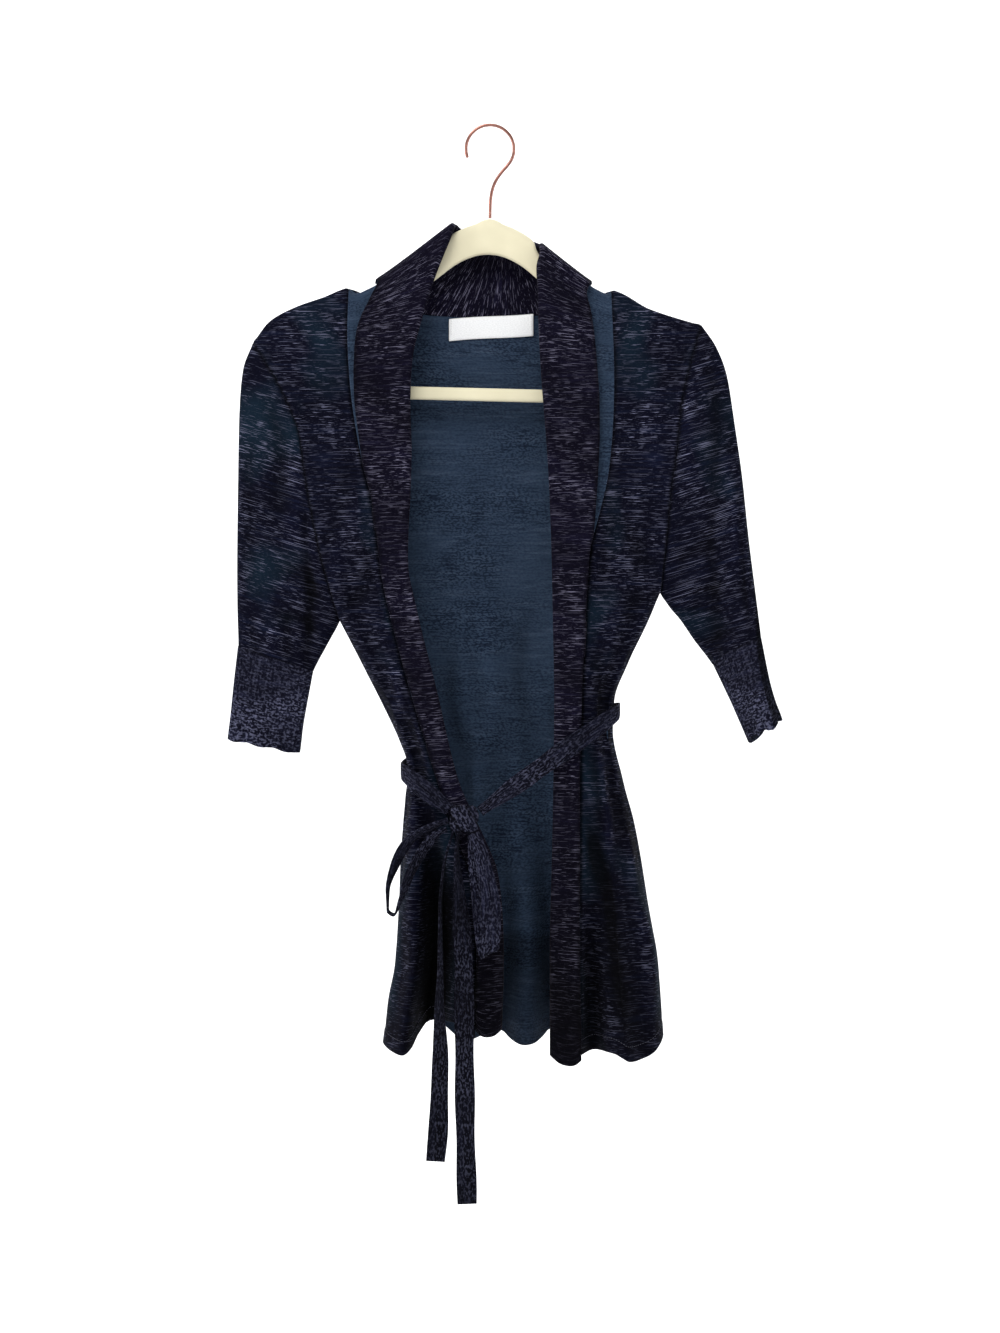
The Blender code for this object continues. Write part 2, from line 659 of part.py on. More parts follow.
def build_strip(name, table, count, width_axis=None, side_end=None):
    """A flat length of sash along a path; turn is how far it has twisted from facing front."""
    names = "x y z" if width_axis is not None else "x y z turn"
    path = table.along(names, count)
    along = unit(np.gradient(path[:, :3], axis=0))
    for end in side_end or ():
        along[end] = (0.0, np.sign(along[end, 1]), 0.0)
    vertices, faces = [], []
    for i in range(count):
        if width_axis is None:
            turn = math.radians(path[i, 3])
            side = np.array([math.cos(turn), math.sin(turn), 0.0])
        else:
            side = np.array(width_axis, dtype=float)
        side = unit(side - along[i] * np.dot(side, along[i]))
        thin = np.cross(along[i], side)
        for a, b in ((-1, -1), (1, -1), (1, 1), (-1, 1)):
            vertices.append(path[i, :3] + side * a * SASH_WIDTH / 2 + thin * b * SASH_THICKNESS / 2)
    for i in range(count - 1):
        for k in range(4):
            a, b = 4 * i + k, 4 * i + (k + 1) % 4
            faces.append((a, b, b + 4, a + 4))
    faces += [(3, 2, 1, 0), tuple(4 * (count - 1) + k for k in range(4))]
    build_mesh(name, vertices, faces, RIB_GREY)


# The sash, tied in a bow at the wearer's right front

KNOT_CENTRE = np.array([-22.5, -46.5, -620.0])
KNOT_HALF = np.array([13.0, 8.0, 12.0])

WAIST_BACK = Table("x y z", [
    (116.4, 0.3, -524), (114.5, 15, -525), (106, 28, -528), (88, 35, -532), (60, 37, -539), (0, 37.5, -552),
    (-40, 37, -563), (-58, 34, -569), (-72, 24, -574), (-78.5, 12, -577), (-79.6, 0.3, -578)])
WAIST_LEFT = Table("x y z", [
    (116.4, -0.3, -524), (114.8, -15, -526.5), (106, -29.5, -532), (92, -38, -542), (70, -41.5, -557),
    (27, -43, -588), (-8.65, -45, -613.45)])
WAIST_RIGHT = Table("x y z", [
    (-79.6, -0.3, -578), (-78.6, -13, -579.5), (-72, -27, -584), (-59, -38.5, -594),
    (-35.2, -45, -612.3)])
LOOP_RIGHT = Table("x y z turn", [
    (-36.4, -48, -623.5, 90), (-50, -49, -624.5, 90), (-72, -50, -634, 90), (-86, -50, -660, 90),
    (-90.5, -50, -686, 90), (-89.5, -50, -700, 90), (-84.5, -50, -704, 90), (-78.5, -50, -692, 90),
    (-70, -49, -668, 90), (-57, -48, -646, 90), (-44, -47, -632, 90), (-36.4, -47, -629, 90)])
LOOP_LEFT = Table("x y z turn", [
    (-14, -51.5, -632.5, 0), (-9, -54, -645, 0), (-3, -57.5, -668, 0), (1, -59, -700, 0), (1, -59.5, -722, 0),
    (0, -57.5, -734, 0), (-1, -54, -737.5, 0), (-3, -50.5, -733, 0), (-5, -48.5, -715, 0), (-9, -46, -685, 0),
    (-13.5, -44, -650, 0), (-15, -43.6, -632.5, 0)])
TAIL_RIGHT = Table("x y z turn", [
    (-32.4, -47.5, -631.2, 88), (-40, -52, -660, 86), (-43.2, -55, -697, 84), (-43.2, -56, -751, 78),
    (-44.1, -56, -787, 62), (-43.2, -56, -823, 42), (-44, -56, -859, 22), (-45, -56, -890, 12),
    (-47.5, -56, -919, 8)])
TAIL_LEFT = Table("x y z turn", [
    (-27.6, -47.5, -632.5, 84), (-29, -50, -650, 74), (-27, -52.5, -680, 50), (-25, -53, -710, 30),
    (-23, -53, -745, 12), (-22.5, -53, -787, 0), (-21.6, -53, -877, 0), (-19.8, -53, -957, 4)])


def build_knot():
    """The knot: a small rounded block with blunt sides."""
    rings, around = 8, 14
    vertices = [KNOT_CENTRE + KNOT_HALF * np.array([0, 0, 1.0])]
    for i in range(1, rings):
        polar = math.pi * i / rings
        for j in range(around):
            angle = 2 * math.pi * j / around
            way = np.array([math.sin(polar) * math.cos(angle), math.sin(polar) * math.sin(angle), math.cos(polar)])
            blunt = np.sum(np.abs(way) ** 4) ** -0.25
            vertices.append(KNOT_CENTRE + KNOT_HALF * way * blunt)
    vertices.append(KNOT_CENTRE - KNOT_HALF * np.array([0, 0, 1.0]))
    faces = [(0, 1 + j, 1 + (j + 1) % around) for j in range(around)]
    for i in range(rings - 2):
        for j in range(around):
            a, b = 1 + i * around + j, 1 + i * around + (j + 1) % around
            faces.append((a, a + around, b + around, b))
    end = len(vertices) - 1
    low = 1 + (rings - 2) * around
    faces += [(low + j, end, low + (j + 1) % around) for j in range(around)]
    build_mesh("belt_knot", vertices, faces, RIB_GREY)


def build_sash():
    """The sash's stretches round the waist, its knot, two loops and two free ends."""
    upright = (0.0, 0.0, 1.0)
    build_strip("belt_back", WAIST_BACK, 25, upright, (0, -1))
    build_strip("belt_front_left", WAIST_LEFT, 21, upright, (0,))
    build_strip("belt_front_right", WAIST_RIGHT, 13, upright, (0,))
    build_strip("bow_loop_right", LOOP_RIGHT, 29)
    build_strip("bow_loop_left", LOOP_LEFT, 27)
    build_strip("belt_tail_right", TAIL_RIGHT, 20)
    build_strip("belt_tail_left", TAIL_LEFT, 32)
    build_knot()


# The label on the inside of the back neck

LABEL = {"left": -37.0, "right": 39.0, "top_left": -176.5, "top_right": -171.5, "height": 19.5,
         "thickness": 0.7, "lift": 0.7, "columns": 8}
BACK_ROWS_AT_LABEL = 7
NEARBY = 2.0


def build_label(back):
    """A blank woven label that follows the back's inner face just under the neckline."""
    outer, normals = back
    inner = outer - normals * CLOTH_WALL
    columns = slice(SHOULDER_COLUMNS, SHOULDER_COLUMNS + NECK_COLUMNS + 1)
    face = inner[-BACK_ROWS_AT_LABEL:, columns].reshape(-1, 3)
    far = np.zeros((3, LABEL["columns"] + 1, 3))
    for row in range(3):
        for j in range(LABEL["columns"] + 1):
            share = j / LABEL["columns"]
            x = LABEL["left"] + (LABEL["right"] - LABEL["left"]) * share
            top = LABEL["top_left"] + (LABEL["top_right"] - LABEL["top_left"]) * share
            z = top - LABEL["height"] * row / 2
            off = np.hypot(face[:, 0] - x, face[:, 2] - z)
            weight = 1.0 / (off + NEARBY) ** 4
            y = np.sum(face[:, 1] * weight) / np.sum(weight) - LABEL["lift"]
            far[row, j] = (x, y, z)
    build_wall("neck_label", far, far - np.array([0.0, LABEL["thickness"], 0.0]), LABEL_WHITE)


# The hanger: a flat frame of two arms and a crossbar, and a bent wire hook

HANGER_HALF = Table("outer_x outer_z inner_x inner_z", [
    (0, -83, 0, -115.2),
    (5.4, -84.3, 4.5, -115.5),
    (12.6, -88, 11, -116.6),
    (20, -90.7, 18, -119),
    (27, -94, 25, -122.3),
    (34, -98, 31, -126),
    (40, -103, 37, -130.5),
    (42.5, -110, 40, -133),
    (48, -118.5, 45, -137),
    (60, -127.5, 54, -144),
    (72, -133.5, 66, -152),
    (86, -149, 80, -164),
    (108, -153.5, 102, -172),
    (144, -166, 138, -185),
    (176, -176.5, 168, -196),
    (190, -182.5, 180, -204),
    (198, -192, 185, -211),
    (203, -204, 188, -218),
    (205, -220, 189, -226),
    (203, -235, 188, -231),
    (196, -244, 184, -234.5),
    (184, -247.2, 178, -235.7),
    (90, -247.2, 90, -235.7),
    (0, -247.2, 0, -235.7),
])


def build_hanger():
    """Arms and crossbar in one flat frame, hung a little lower on the wearer's left."""
    half = np.stack([HANGER_HALF.columns[n] for n in ("outer_x", "outer_z", "inner_x", "inner_z")], axis=1)
    mirror = half[-2:0:-1] * np.array([-1, 1, -1, 1])
    sections = np.concatenate([half, mirror])
    peak_z = half[0, 1]
    cos, sin = math.cos(HANGER_TILT), math.sin(HANGER_TILT)
    vertices, faces = [], []
    for outer_x, outer_z, inner_x, inner_z in sections:
        for x, z, y in ((outer_x, outer_z, -1), (outer_x, outer_z, 1), (inner_x, inner_z, 1), (inner_x, inner_z, -1)):
            vertices.append((x * cos + (z - peak_z) * sin, y * HANGER_THICKNESS / 2,
                             peak_z + (z - peak_z) * cos - x * sin))
    count = len(sections)
    for i in range(count):
        for k in range(4):
            a, b = 4 * i + k, 4 * i + (k + 1) % 4
            c, d = 4 * ((i + 1) % count) + (k + 1) % 4, 4 * ((i + 1) % count) + k
            faces.append((a, b, c, d))
    build_mesh("hanger_body", vertices, faces, HANGER_CREAM, 0.75, smooth=False)


def build_hook():
    """A copper-coloured wire: up out of the hanger, then round over the rail."""
    centre_z = -(HOOK_RADIUS - HOOK_WIRE / 2)
    stem = [(0.0, -82.4), (0.1, -76), (0.3, -69), (1.0, -62), (2.6, -55), (5.4, -48.5), (9.4, -42.5)]
    start, end, steps = math.radians(-38), math.radians(198), 22
    arc = [(HOOK_RADIUS * math.cos(start + (end - start) * i / steps),
            centre_z + HOOK_RADIUS * math.sin(start + (end - start) * i / steps)) for i in range(steps + 1)]
    path = np.array([(x, 0.0, z) for x, z in stem + arc])
    along = unit(np.gradient(path, axis=0))
    sides = 8
    vertices, faces = [], []
    for point, way in zip(path, along):
        across = np.array([way[2], 0.0, -way[0]])
        for k in range(sides):
            angle = 2 * math.pi * k / sides
            vertices.append(point + (across * math.cos(angle) + np.array([0, 1.0, 0]) * math.sin(angle))
                            * HOOK_WIRE / 2)
    for i in range(len(path) - 1):
        for k in range(sides):
            a, b = sides * i + k, sides * i + (k + 1) % sides
            faces.append((a, b, b + sides, a + sides))
    faces += [tuple(range(sides))[::-1], tuple(sides * (len(path) - 1) + k for k in range(sides))]
    build_mesh("hanger_hook", vertices, faces, COPPER, 0.3, 1.0)


def build_cardigan():
    for thing in list(bpy.data.objects):
        bpy.data.objects.remove(thing)
    left = build_front("front_left", LEFT, LEFT_FOLDS)
    right = build_front("front_right", RIGHT, RIGHT_FOLDS)
    back = build_back()
    build_collar(left, right, back)
    for name, side, sleeve, cuff in (("left", LEFT, LEFT_SLEEVE, LEFT_CUFF),
                                     ("right", RIGHT, RIGHT_SLEEVE, RIGHT_CUFF)):
        rings = build_sleeve("sleeve_" + name, sleeve, side)
        build_cuff("cuff_" + name, cuff, side, rings)
    build_sash()
    build_label(back)
    build_hanger()
    build_hook()


build_cardigan()
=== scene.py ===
import math

import bpy
import numpy as np
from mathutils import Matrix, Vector


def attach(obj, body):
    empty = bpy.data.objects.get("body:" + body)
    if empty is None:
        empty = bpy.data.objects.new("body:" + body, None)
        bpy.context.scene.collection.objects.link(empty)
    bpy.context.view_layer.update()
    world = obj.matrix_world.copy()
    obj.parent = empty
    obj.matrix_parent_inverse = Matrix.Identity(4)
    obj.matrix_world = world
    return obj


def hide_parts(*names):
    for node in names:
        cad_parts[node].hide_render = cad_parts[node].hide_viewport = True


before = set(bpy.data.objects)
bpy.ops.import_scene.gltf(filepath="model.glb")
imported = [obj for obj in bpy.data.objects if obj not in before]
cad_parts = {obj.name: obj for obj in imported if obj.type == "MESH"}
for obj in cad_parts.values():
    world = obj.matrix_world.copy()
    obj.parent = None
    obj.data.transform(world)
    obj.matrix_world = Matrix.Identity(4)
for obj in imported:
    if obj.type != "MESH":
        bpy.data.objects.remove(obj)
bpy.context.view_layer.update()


# The studio: a camera two metres in front of the cardigan, a pale paper sweep behind and below it,
# and large soft lights from above, from both sides, from behind the cardigan and onto the paper.

CAMERA_DISTANCE = 2.0
FRAME_HEIGHT = 1.2
SENSOR = 36.0
MIDDLE_X, MIDDLE_Z = 0.009, -0.486
camera = bpy.data.objects.new("camera", bpy.data.cameras.new("camera"))
camera.location = (MIDDLE_X, -CAMERA_DISTANCE, MIDDLE_Z)
camera.rotation_euler = (math.radians(90), 0, 0)
camera.data.lens = SENSOR * CAMERA_DISTANCE / FRAME_HEIGHT
camera.data.sensor_width = SENSOR
bpy.context.scene.collection.objects.link(camera)
bpy.context.scene.camera = camera
bpy.context.scene.view_settings.view_transform = "Standard"


def soft_light(name, place, aim, size, power):
    lamp = bpy.data.lights.new(name, "AREA")
    lamp.shape = "RECTANGLE"
    lamp.size, lamp.size_y = size
    lamp.energy = power
    thing = bpy.data.objects.new(name, lamp)
    thing.location = place
    thing.rotation_euler = (Vector(aim) - Vector(place)).to_track_quat("-Z", "Y").to_euler()
    bpy.context.scene.collection.objects.link(thing)


soft_light("light_above", (-0.6, -1.3, 1.4), (0, 0, -0.5), (1.2, 0.9), 30)
soft_light("light_left", (-2.0, -0.7, 0.0), (0, 0, -0.5), (0.8, 1.4), 22)
soft_light("light_right", (2.1, -1.0, 0.1), (0, 0, -0.5), (0.8, 1.4), 13)
soft_light("light_behind", (0.5, 1.6, 0.9), (0, 0.1, -0.4), (1.2, 0.9), 20)
soft_light("light_on_paper", (0, 1.9, 2.6), (0, 4.2, 0.0), (4.0, 1.0), 150)

world = bpy.data.worlds.new("studio_air")
world.use_nodes = True
world.node_tree.nodes["Background"].inputs["Color"].default_value = (0.93, 0.95, 1.0, 1.0)
world.node_tree.nodes["Background"].inputs["Strength"].default_value = 0.62
bpy.context.scene.world = world


def new_finish(name, roughness):
    """A material with its node tree and its shader."""
    finish = bpy.data.materials.new(name)
    finish.use_nodes = True
    shader = finish.node_tree.nodes["Principled BSDF"]
    shader.inputs["Roughness"].default_value = roughness
    return finish, finish.node_tree, shader


def build_sweep():
    """Paper that lies flat, then curves up into a wall."""
    floor_z, wall_y, cove, reach = -1.35, 4.2, 1.2, 8.0
    profile = [(-reach, floor_z), (-1.0, floor_z), (wall_y - cove, floor_z)]
    profile += [(wall_y - cove + cove * math.sin(a), floor_z + cove * (1 - math.cos(a)))
                for a in np.linspace(0, math.pi / 2, 13)[1:]]
    profile.append((wall_y, 5.0))
    corners = [(x, y, z) for y, z in profile for x in (-reach, reach)]
    faces = [(2 * i, 2 * i + 1, 2 * i + 3, 2 * i + 2) for i in range(len(profile) - 1)]
    mesh = bpy.data.meshes.new("paper_sweep")
    mesh.from_pydata(corners, [], faces)
    mesh.shade_smooth()
    paper, _, shader = new_finish("pale_paper", 0.95)
    shader.inputs["Base Color"].default_value = (0.93, 0.93, 0.93, 1)
    mesh.materials.append(paper)
    sweep = bpy.data.objects.new("paper_sweep", mesh)
    bpy.context.scene.collection.objects.link(sweep)


build_sweep()


# The two fronts: panels of fine slub knit, navy with pale flecks along the courses on the right side and
# slate teal on the wrong side. Each runs from the hem to its shoulder seam, and from the side seam and
# armhole to the collar seam, with a turned hem held by a row of stitches.

MM = 0.001
CLOTH_THICKNESS = 1.2
RIM_BULGE = 0.4
# Painted shade on the rims of every piece of cloth.
RIM_PAINTED_SHADE = 0.9
SEAM_GAP = 0.3
SIDE_ROUND = 22.0
SEAM_DRAW = 1.5
HEM_TURN = 12.4
UNDERARM_HEIGHT = 400.0


def smooth_curve(xs, ys, at):
    """A smooth curve through the points that never swings past them."""
    at = np.clip(np.asarray(at, dtype=float), xs[0], xs[-1])
    gaps = np.diff(xs)
    slopes = np.diff(ys) / gaps
    tangents = np.zeros(len(xs))
    tangents[0], tangents[-1] = slopes[0], slopes[-1]
    for i in range(1, len(xs) - 1):
        if slopes[i - 1] * slopes[i] > 0.0:
            near, far = 2 * gaps[i] + gaps[i - 1], gaps[i] + 2 * gaps[i - 1]
            tangents[i] = (near + far) / (near / slopes[i - 1] + far / slopes[i])
    k = np.clip(np.searchsorted(xs, at, side="right") - 1, 0, len(xs) - 2)
    t = (at - xs[k]) / gaps[k]
    start = (1 + 2 * t) * (1 - t) ** 2 * ys[k] + t * (1 - t) ** 2 * gaps[k] * tangents[k]
    return start + t * t * (3 - 2 * t) * ys[k + 1] + t * t * (t - 1) * gaps[k] * tangents[k + 1]


def reach_along(points):
    """How far along a line each of its points lies."""
    return np.concatenate(([0.0], np.cumsum(np.linalg.norm(np.diff(points, axis=0), axis=1))))


class Table:
    """Rows of named columns, read as smooth curves through the rows."""

    def __init__(self, names, rows):
        values = np.array(rows, dtype=float)
        self.columns = {name: values[:, i] for i, name in enumerate(names.split())}

    def rows(self, names):
        return zip(*(self.columns[name] for name in names.split()))

    def read(self, name, key, at):
        keys, values = self.columns[key], self.columns[name]
        if keys[0] > keys[-1]:
            keys, values = keys[::-1], values[::-1]
        return smooth_curve(keys, values, at)

    def along(self, names, count):
        """Points spread evenly along the smooth path through the rows."""
        rows = np.stack([self.columns[name] for name in names.split()], axis=1)
        reach = reach_along(rows[:, :3])
        stops = np.linspace(0.0, reach[-1], count)
        return np.stack([smooth_curve(reach, rows[:, i], stops) for i in range(rows.shape[1])], axis=1)


def ease(t):
    t = np.clip(t, 0.0, 1.0)
    return t * t * (3 - 2 * t)


def unit(vectors):
    return vectors / np.maximum(np.linalg.norm(vectors, axis=-1, keepdims=True), 1e-9)


HALF_DEPTH = Table("z front back", [
    (-160, 11, 12), (-240, 13, 16), (-330, 16, 20), (-440, 20, 25), (-520, 27, 30), (-575, 29, 31),
    (-660, 32, 33), (-760, 35, 35), (-850, 36, 36)])

LEFT = {
    "side": Table("z x", [
        (-816, 155.5), (-769, 152), (-697, 142), (-625, 129.6), (-589, 119.7),
        (-544, 110.7), (-517, 111.6), (-481, 125), (-445, 142), (-419.4, 153)]),
    "armhole": Table("x z", [
        (153, -419.4), (158.5, -370), (163, -321), (167, -299), (171, -256), (178, -221), (190, -179)]),
    "edge": Table("z x", [
        (-842, 81), (-730, 80), (-600, 80), (-514, 82), (-445, 85.5), (-380, 90), (-337, 101.5),
        (-296, 108.5), (-229, 111.5), (-148, 109)]),
    "neck_z": -148.0,
}
RIGHT = {
    "side": Table("z x", [
        (-823, -96), (-787, -91), (-750, -84), (-660, -80.5), (-607, -76.5), (-578, -73),
        (-553, -81), (-517, -98), (-481, -116), (-444.6, -135)]),
    "armhole": Table("x z", [
        (-135, -444.6), (-151, -390), (-162, -336.6), (-168, -300.6), (-171, -279), (-191.7, -229.5),
        (-213.3, -195.3)]),
    "edge": Table("z x", [
        (-814, -13.5), (-742, -12), (-679, -15), (-634, -31), (-589, -45), (-508, -71), (-391, -99),
        (-346, -104), (-310, -113), (-274, -120), (-238, -125), (-188, -128), (-146, -127)]),
    "neck_z": -146.0,
}
SHOULDER_AND_NECKLINE = Table("x z", [
    (-213.3, -195.3), (-198, -175.5), (-175.5, -163), (-150, -154), (-127, -146), (-100, -157), (-50, -168),
    (0, -170.5), (50, -167), (88, -157), (109, -148), (144, -164.7), (180, -176.3), (190, -179)])

LEFT_FOLDS = Table("across half_width depth top full", [
    (0.86, 0.20, -20, -640, -800),
    (0.46, 0.30, 12, -640, -810),
    (0.30, 0.22, -7, -300, -480),
])
RIGHT_FOLDS = Table("across half_width depth top full", [
    (0.55, 0.30, -34, -610, -740),
    (0.22, 0.14, 6, -640, -780),
    (0.45, 0.30, -6, -330, -480),
])

# Creases of the fronts: each runs from one end to the other and bows sideways, and is a trough where
# its depth is negative.
LEFT_CREASES = Table("x1 z1 x2 z2 bow width depth", [
    (112, -556, 97, -470, 6, 9, -2.6),
    (108, -560, 121, -640, -5, 8, -2.4),
    (99, -566, 104, -660, 3, 7, 2.0),
    (92, -560, 93, -690, 4, 8, -2.2),
    (103, -550, 128, -468, -8, 8, -2.0),
    (117, -590, 137, -720, 4, 10, -2.4),
    (126, -640, 146, -790, -3, 9, 2.0),
    (150, -400, 118, -350, 6, 10, -1.8),
    (152, -425, 120, -440, -6, 9, -1.6),
    (165, -330, 140, -250, 5, 11, 1.3),
    (184, -190, 150, -230, 8, 12, -1.2),
    (112, -300, 104, -420, -3, 8, -1.3),
    (87, -625, 121, -818, 5, 12, -5.0),
    (138, -700, 140, -812, 4, 9, 2.2),
])
RIGHT_CREASES = Table("x1 z1 x2 z2 bow width depth", [
    (-78, -584, -100, -500, -6, 9, -2.4),
    (-70, -588, -84, -480, 4, 8, 2.0),
    (-62, -592, -70, -500, 3, 8, -2.0),
    (-74, -600, -84, -700, -4, 8, -2.4),
    (-66, -604, -70, -720, 3, 8, 1.8),
    (-55, -610, -44, -700, 3, 7, -1.8),
    (-132, -440, -104, -380, -6, 10, -1.8),
    (-140, -420, -112, -330, 8, 12, 1.4),
    (-152, -390, -124, -300, -6, 11, -1.6),
    (-170, -270, -135, -230, 7, 13, -1.2),
    (-200, -190, -150, -205, -6, 12, 1.2),
    (-86, -700, -90, -800, 3, 7, 1.8),
])


def armhole_stops(steps):
    """Places up the armhole from underarm to shoulder, closer together where it rounds over."""
    return 0.5 - 0.5 * np.cos(np.pi * np.arange(steps + 1) / steps)


def armhole_share(w):
    """How far the armhole stands off the middle plane, from 0 at its two ends to 1 between them."""
    bluntness = np.where(np.asarray(w) < 0.5, 2.4, 4.0)
    return np.maximum(0.0, 1.0 - np.abs(2 * np.asarray(w) - 1) ** bluntness) ** (1.0 / bluntness)


def armhole_line(side, stops):
    path = side["armhole"].columns
    reach = reach_along(np.stack([path["x"], path["z"]], axis=1))
    reach /= reach[-1]
    return smooth_curve(reach, path["x"], stops), smooth_curve(reach, path["z"], stops)


def body_rows(side, heights, stops):
    """Each row's outer end from hem to shoulder: x, z, its place up the armhole, how far it stands off."""
    xs, zs = armhole_line(side, stops)
    hem_z = side["side"].columns["z"][0]
    low_z = hem_z + (zs[0] - hem_z) * heights
    low_x = side["side"].read("x", "z", low_z)
    ups = np.concatenate((np.full(len(heights), -1.0), stops))
    shares = np.concatenate((np.zeros(len(heights)), armhole_share(stops)))
    return np.concatenate((low_x, xs)), np.concatenate((low_z, zs)), ups, shares


def round_side(across, reach):
    """A quarter round that starts at the side seam and is full at reach."""
    inner = 1.0 - np.minimum(1.0, across / reach)
    return np.sqrt(np.maximum(0.0, 1.0 - inner * inner))


def fold_depth(folds, across, z):
    """All folds added up: each a soft ridge or trough that grows on its way down to the hem."""
    total = np.zeros(np.broadcast(across, z).shape)
    for centre, half, depth, top, full in folds.rows("across half_width depth top full"):
        off = np.abs(across - centre) / half
        bell = np.where(off < 1.0, 0.5 * (1 + np.cos(np.pi * np.minimum(off, 1.0))), 0.0)
        total += depth * bell * ease((top - z) / (top - full))
    return total


def front_points(side, folds, heights, stops, across):
    """A front's outer points, one row from the side seam or armhole to the collar seam."""
    start_x, start_z, ups, shares = body_rows(side, heights, stops)
    low = ups < 0
    hem_z, under_z, shoulder_z = start_z[0], start_z[len(heights)], start_z[-1]
    hem_edge_z = side["edge"].columns["z"][0]
    progress = np.where(low, 0.0, (start_z - under_z) / (shoulder_z - under_z))
    edge_z = np.where(low, hem_edge_z + (under_z - hem_edge_z) * (start_z - hem_z) / (under_z - hem_z),
                      under_z + (side["neck_z"] - under_z) * progress)
    top_share = np.where(low, 1.0, armhole_share(np.maximum(ups, 0.5)))
    edge_x = side["edge"].read("x", "z", edge_z)
    x = start_x[:, None] + (edge_x - start_x)[:, None] * across
    z = start_z[:, None] + (edge_z - start_z)[:, None] * across
    first_x, last_x = side["armhole"].columns["x"][-1], side["edge"].columns["x"][-1]
    line_z = shoulder_z + (side["neck_z"] - shoulder_z) * across
    top_z = SHOULDER_AND_NECKLINE.read("z", "x", first_x + (last_x - first_x) * across)
    z = z + (top_z - line_z) * (progress ** 3)[:, None]
    rounding = round_side(across[None, :], (SIDE_ROUND / np.abs(edge_x - start_x))[:, None])
    stand = shares[:, None] + (top_share - shares)[:, None] * rounding
    depth = HALF_DEPTH.read("front", "z", z) * stand + fold_depth(folds, across[None, :], z)
    return np.stack([x, -np.maximum(depth, SEAM_GAP / 2), z], axis=2)


def grid_normals(points, ring=False):
    """Normals of a grid of points, from its rows and columns."""
    down = np.gradient(points, axis=0)
    if ring:
        around = np.roll(points, -1, axis=1) - np.roll(points, 1, axis=1)
    else:
        around = np.gradient(points, axis=1)
    return unit(np.cross(around, down))


def flatten(normals, axis):
    """Normals laid in a seam's plane, so that two pieces meet there face to face."""
    flat = normals.copy()
    flat[..., axis] = 0.0
    return unit(flat)


def armhole_normals(side, stops):
    """On the armhole both pieces are thickened in the armhole's own plane."""
    xs, zs = armhole_line(side, stops)
    along = unit(np.stack([np.gradient(xs), np.zeros(len(xs)), np.gradient(zs)], axis=1))
    reach = reach_along(np.stack([xs, zs], axis=1))
    depths = armhole_share(stops) * HALF_DEPTH.read("front", "z", zs)
    normals = -along * np.gradient(depths, reach)[:, None]
    normals[:, 1] = -1.0
    normals[0], normals[-1] = -along[0], along[-1]
    return unit(normals)


def down_sleeve(side, stops):
    """In the front view, the direction across the armhole seam and into the sleeve."""
    xs, zs = armhole_line(side, stops)
    along = unit(np.stack([np.gradient(xs), np.zeros(len(xs)), np.gradient(zs)], axis=1))
    outward = np.stack([-along[:, 2], np.zeros(len(xs)), along[:, 0]], axis=1)
    return outward if outward[:, 0].mean() * xs.mean() > 0 else -outward


def crease_heights(points, creases, keep=None):
    """How far soft creases lift each point: they fade at both ends and wander a little."""
    x, z = points[..., 0], points[..., 2]
    lift = np.zeros(x.shape)
    for x1, z1, x2, z2, bow, width, depth in creases.rows("x1 z1 x2 z2 bow width depth"):
        length = math.hypot(x2 - x1, z2 - z1)
        way_x, way_z = (x2 - x1) / length, (z2 - z1) / length
        along = ((x - x1) * way_x + (z - z1) * way_z) / length
        off = (x - x1) * -way_z + (z - z1) * way_x
        off = off - bow * np.sin(np.pi * np.clip(along, 0, 1)) - 0.16 * width * np.sin(9.0 * along + bow)
        wide = width * (0.75 + 0.5 * np.clip(along, 0, 1))
        fade = ease((along + 0.12) / 0.3) * ease((1.18 - along) / 0.45)
        lift += depth * np.exp(-(off / wide) ** 2 * 1.6) * fade
    return lift if keep is None else lift * keep


def surface_lengths(points, axis):
    """How far along the cloth each point lies, in metres, along one direction of the grid."""
    steps = np.linalg.norm(np.diff(points, axis=axis), axis=2)
    start = np.zeros_like(steps[:1] if axis == 0 else steps[:, :1])
    return np.cumsum(np.concatenate((start, steps), axis=axis), axis=axis) * MM


def knit_mesh(name, places, faces, courses, shades):
    """A smooth mesh with each corner's place in the knitting, and the light and shade painted at each point.
    """
    mesh = bpy.data.meshes.new(name)
    mesh.from_pydata((np.asarray(places) * MM).tolist(), [], faces)
    layer = mesh.uv_layers.new(name="courses")
    layer.data.foreach_set("uv", np.array(courses, dtype=float).ravel())
    layer = mesh.attributes.new("painted_shade", "FLOAT", "POINT")
    layer.data.foreach_set("value", np.asarray(shades, dtype=np.float32).ravel())
    mesh.shade_smooth()
    return mesh


def add_piece(mesh, node=None):
    """The mesh as a piece of the part, in place of its plain solid where it has one."""
    piece = bpy.data.objects.new(mesh.name, mesh)
    bpy.context.scene.collection.objects.link(piece)
    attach(piece, "root")
    if node:
        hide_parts(node)
    return piece


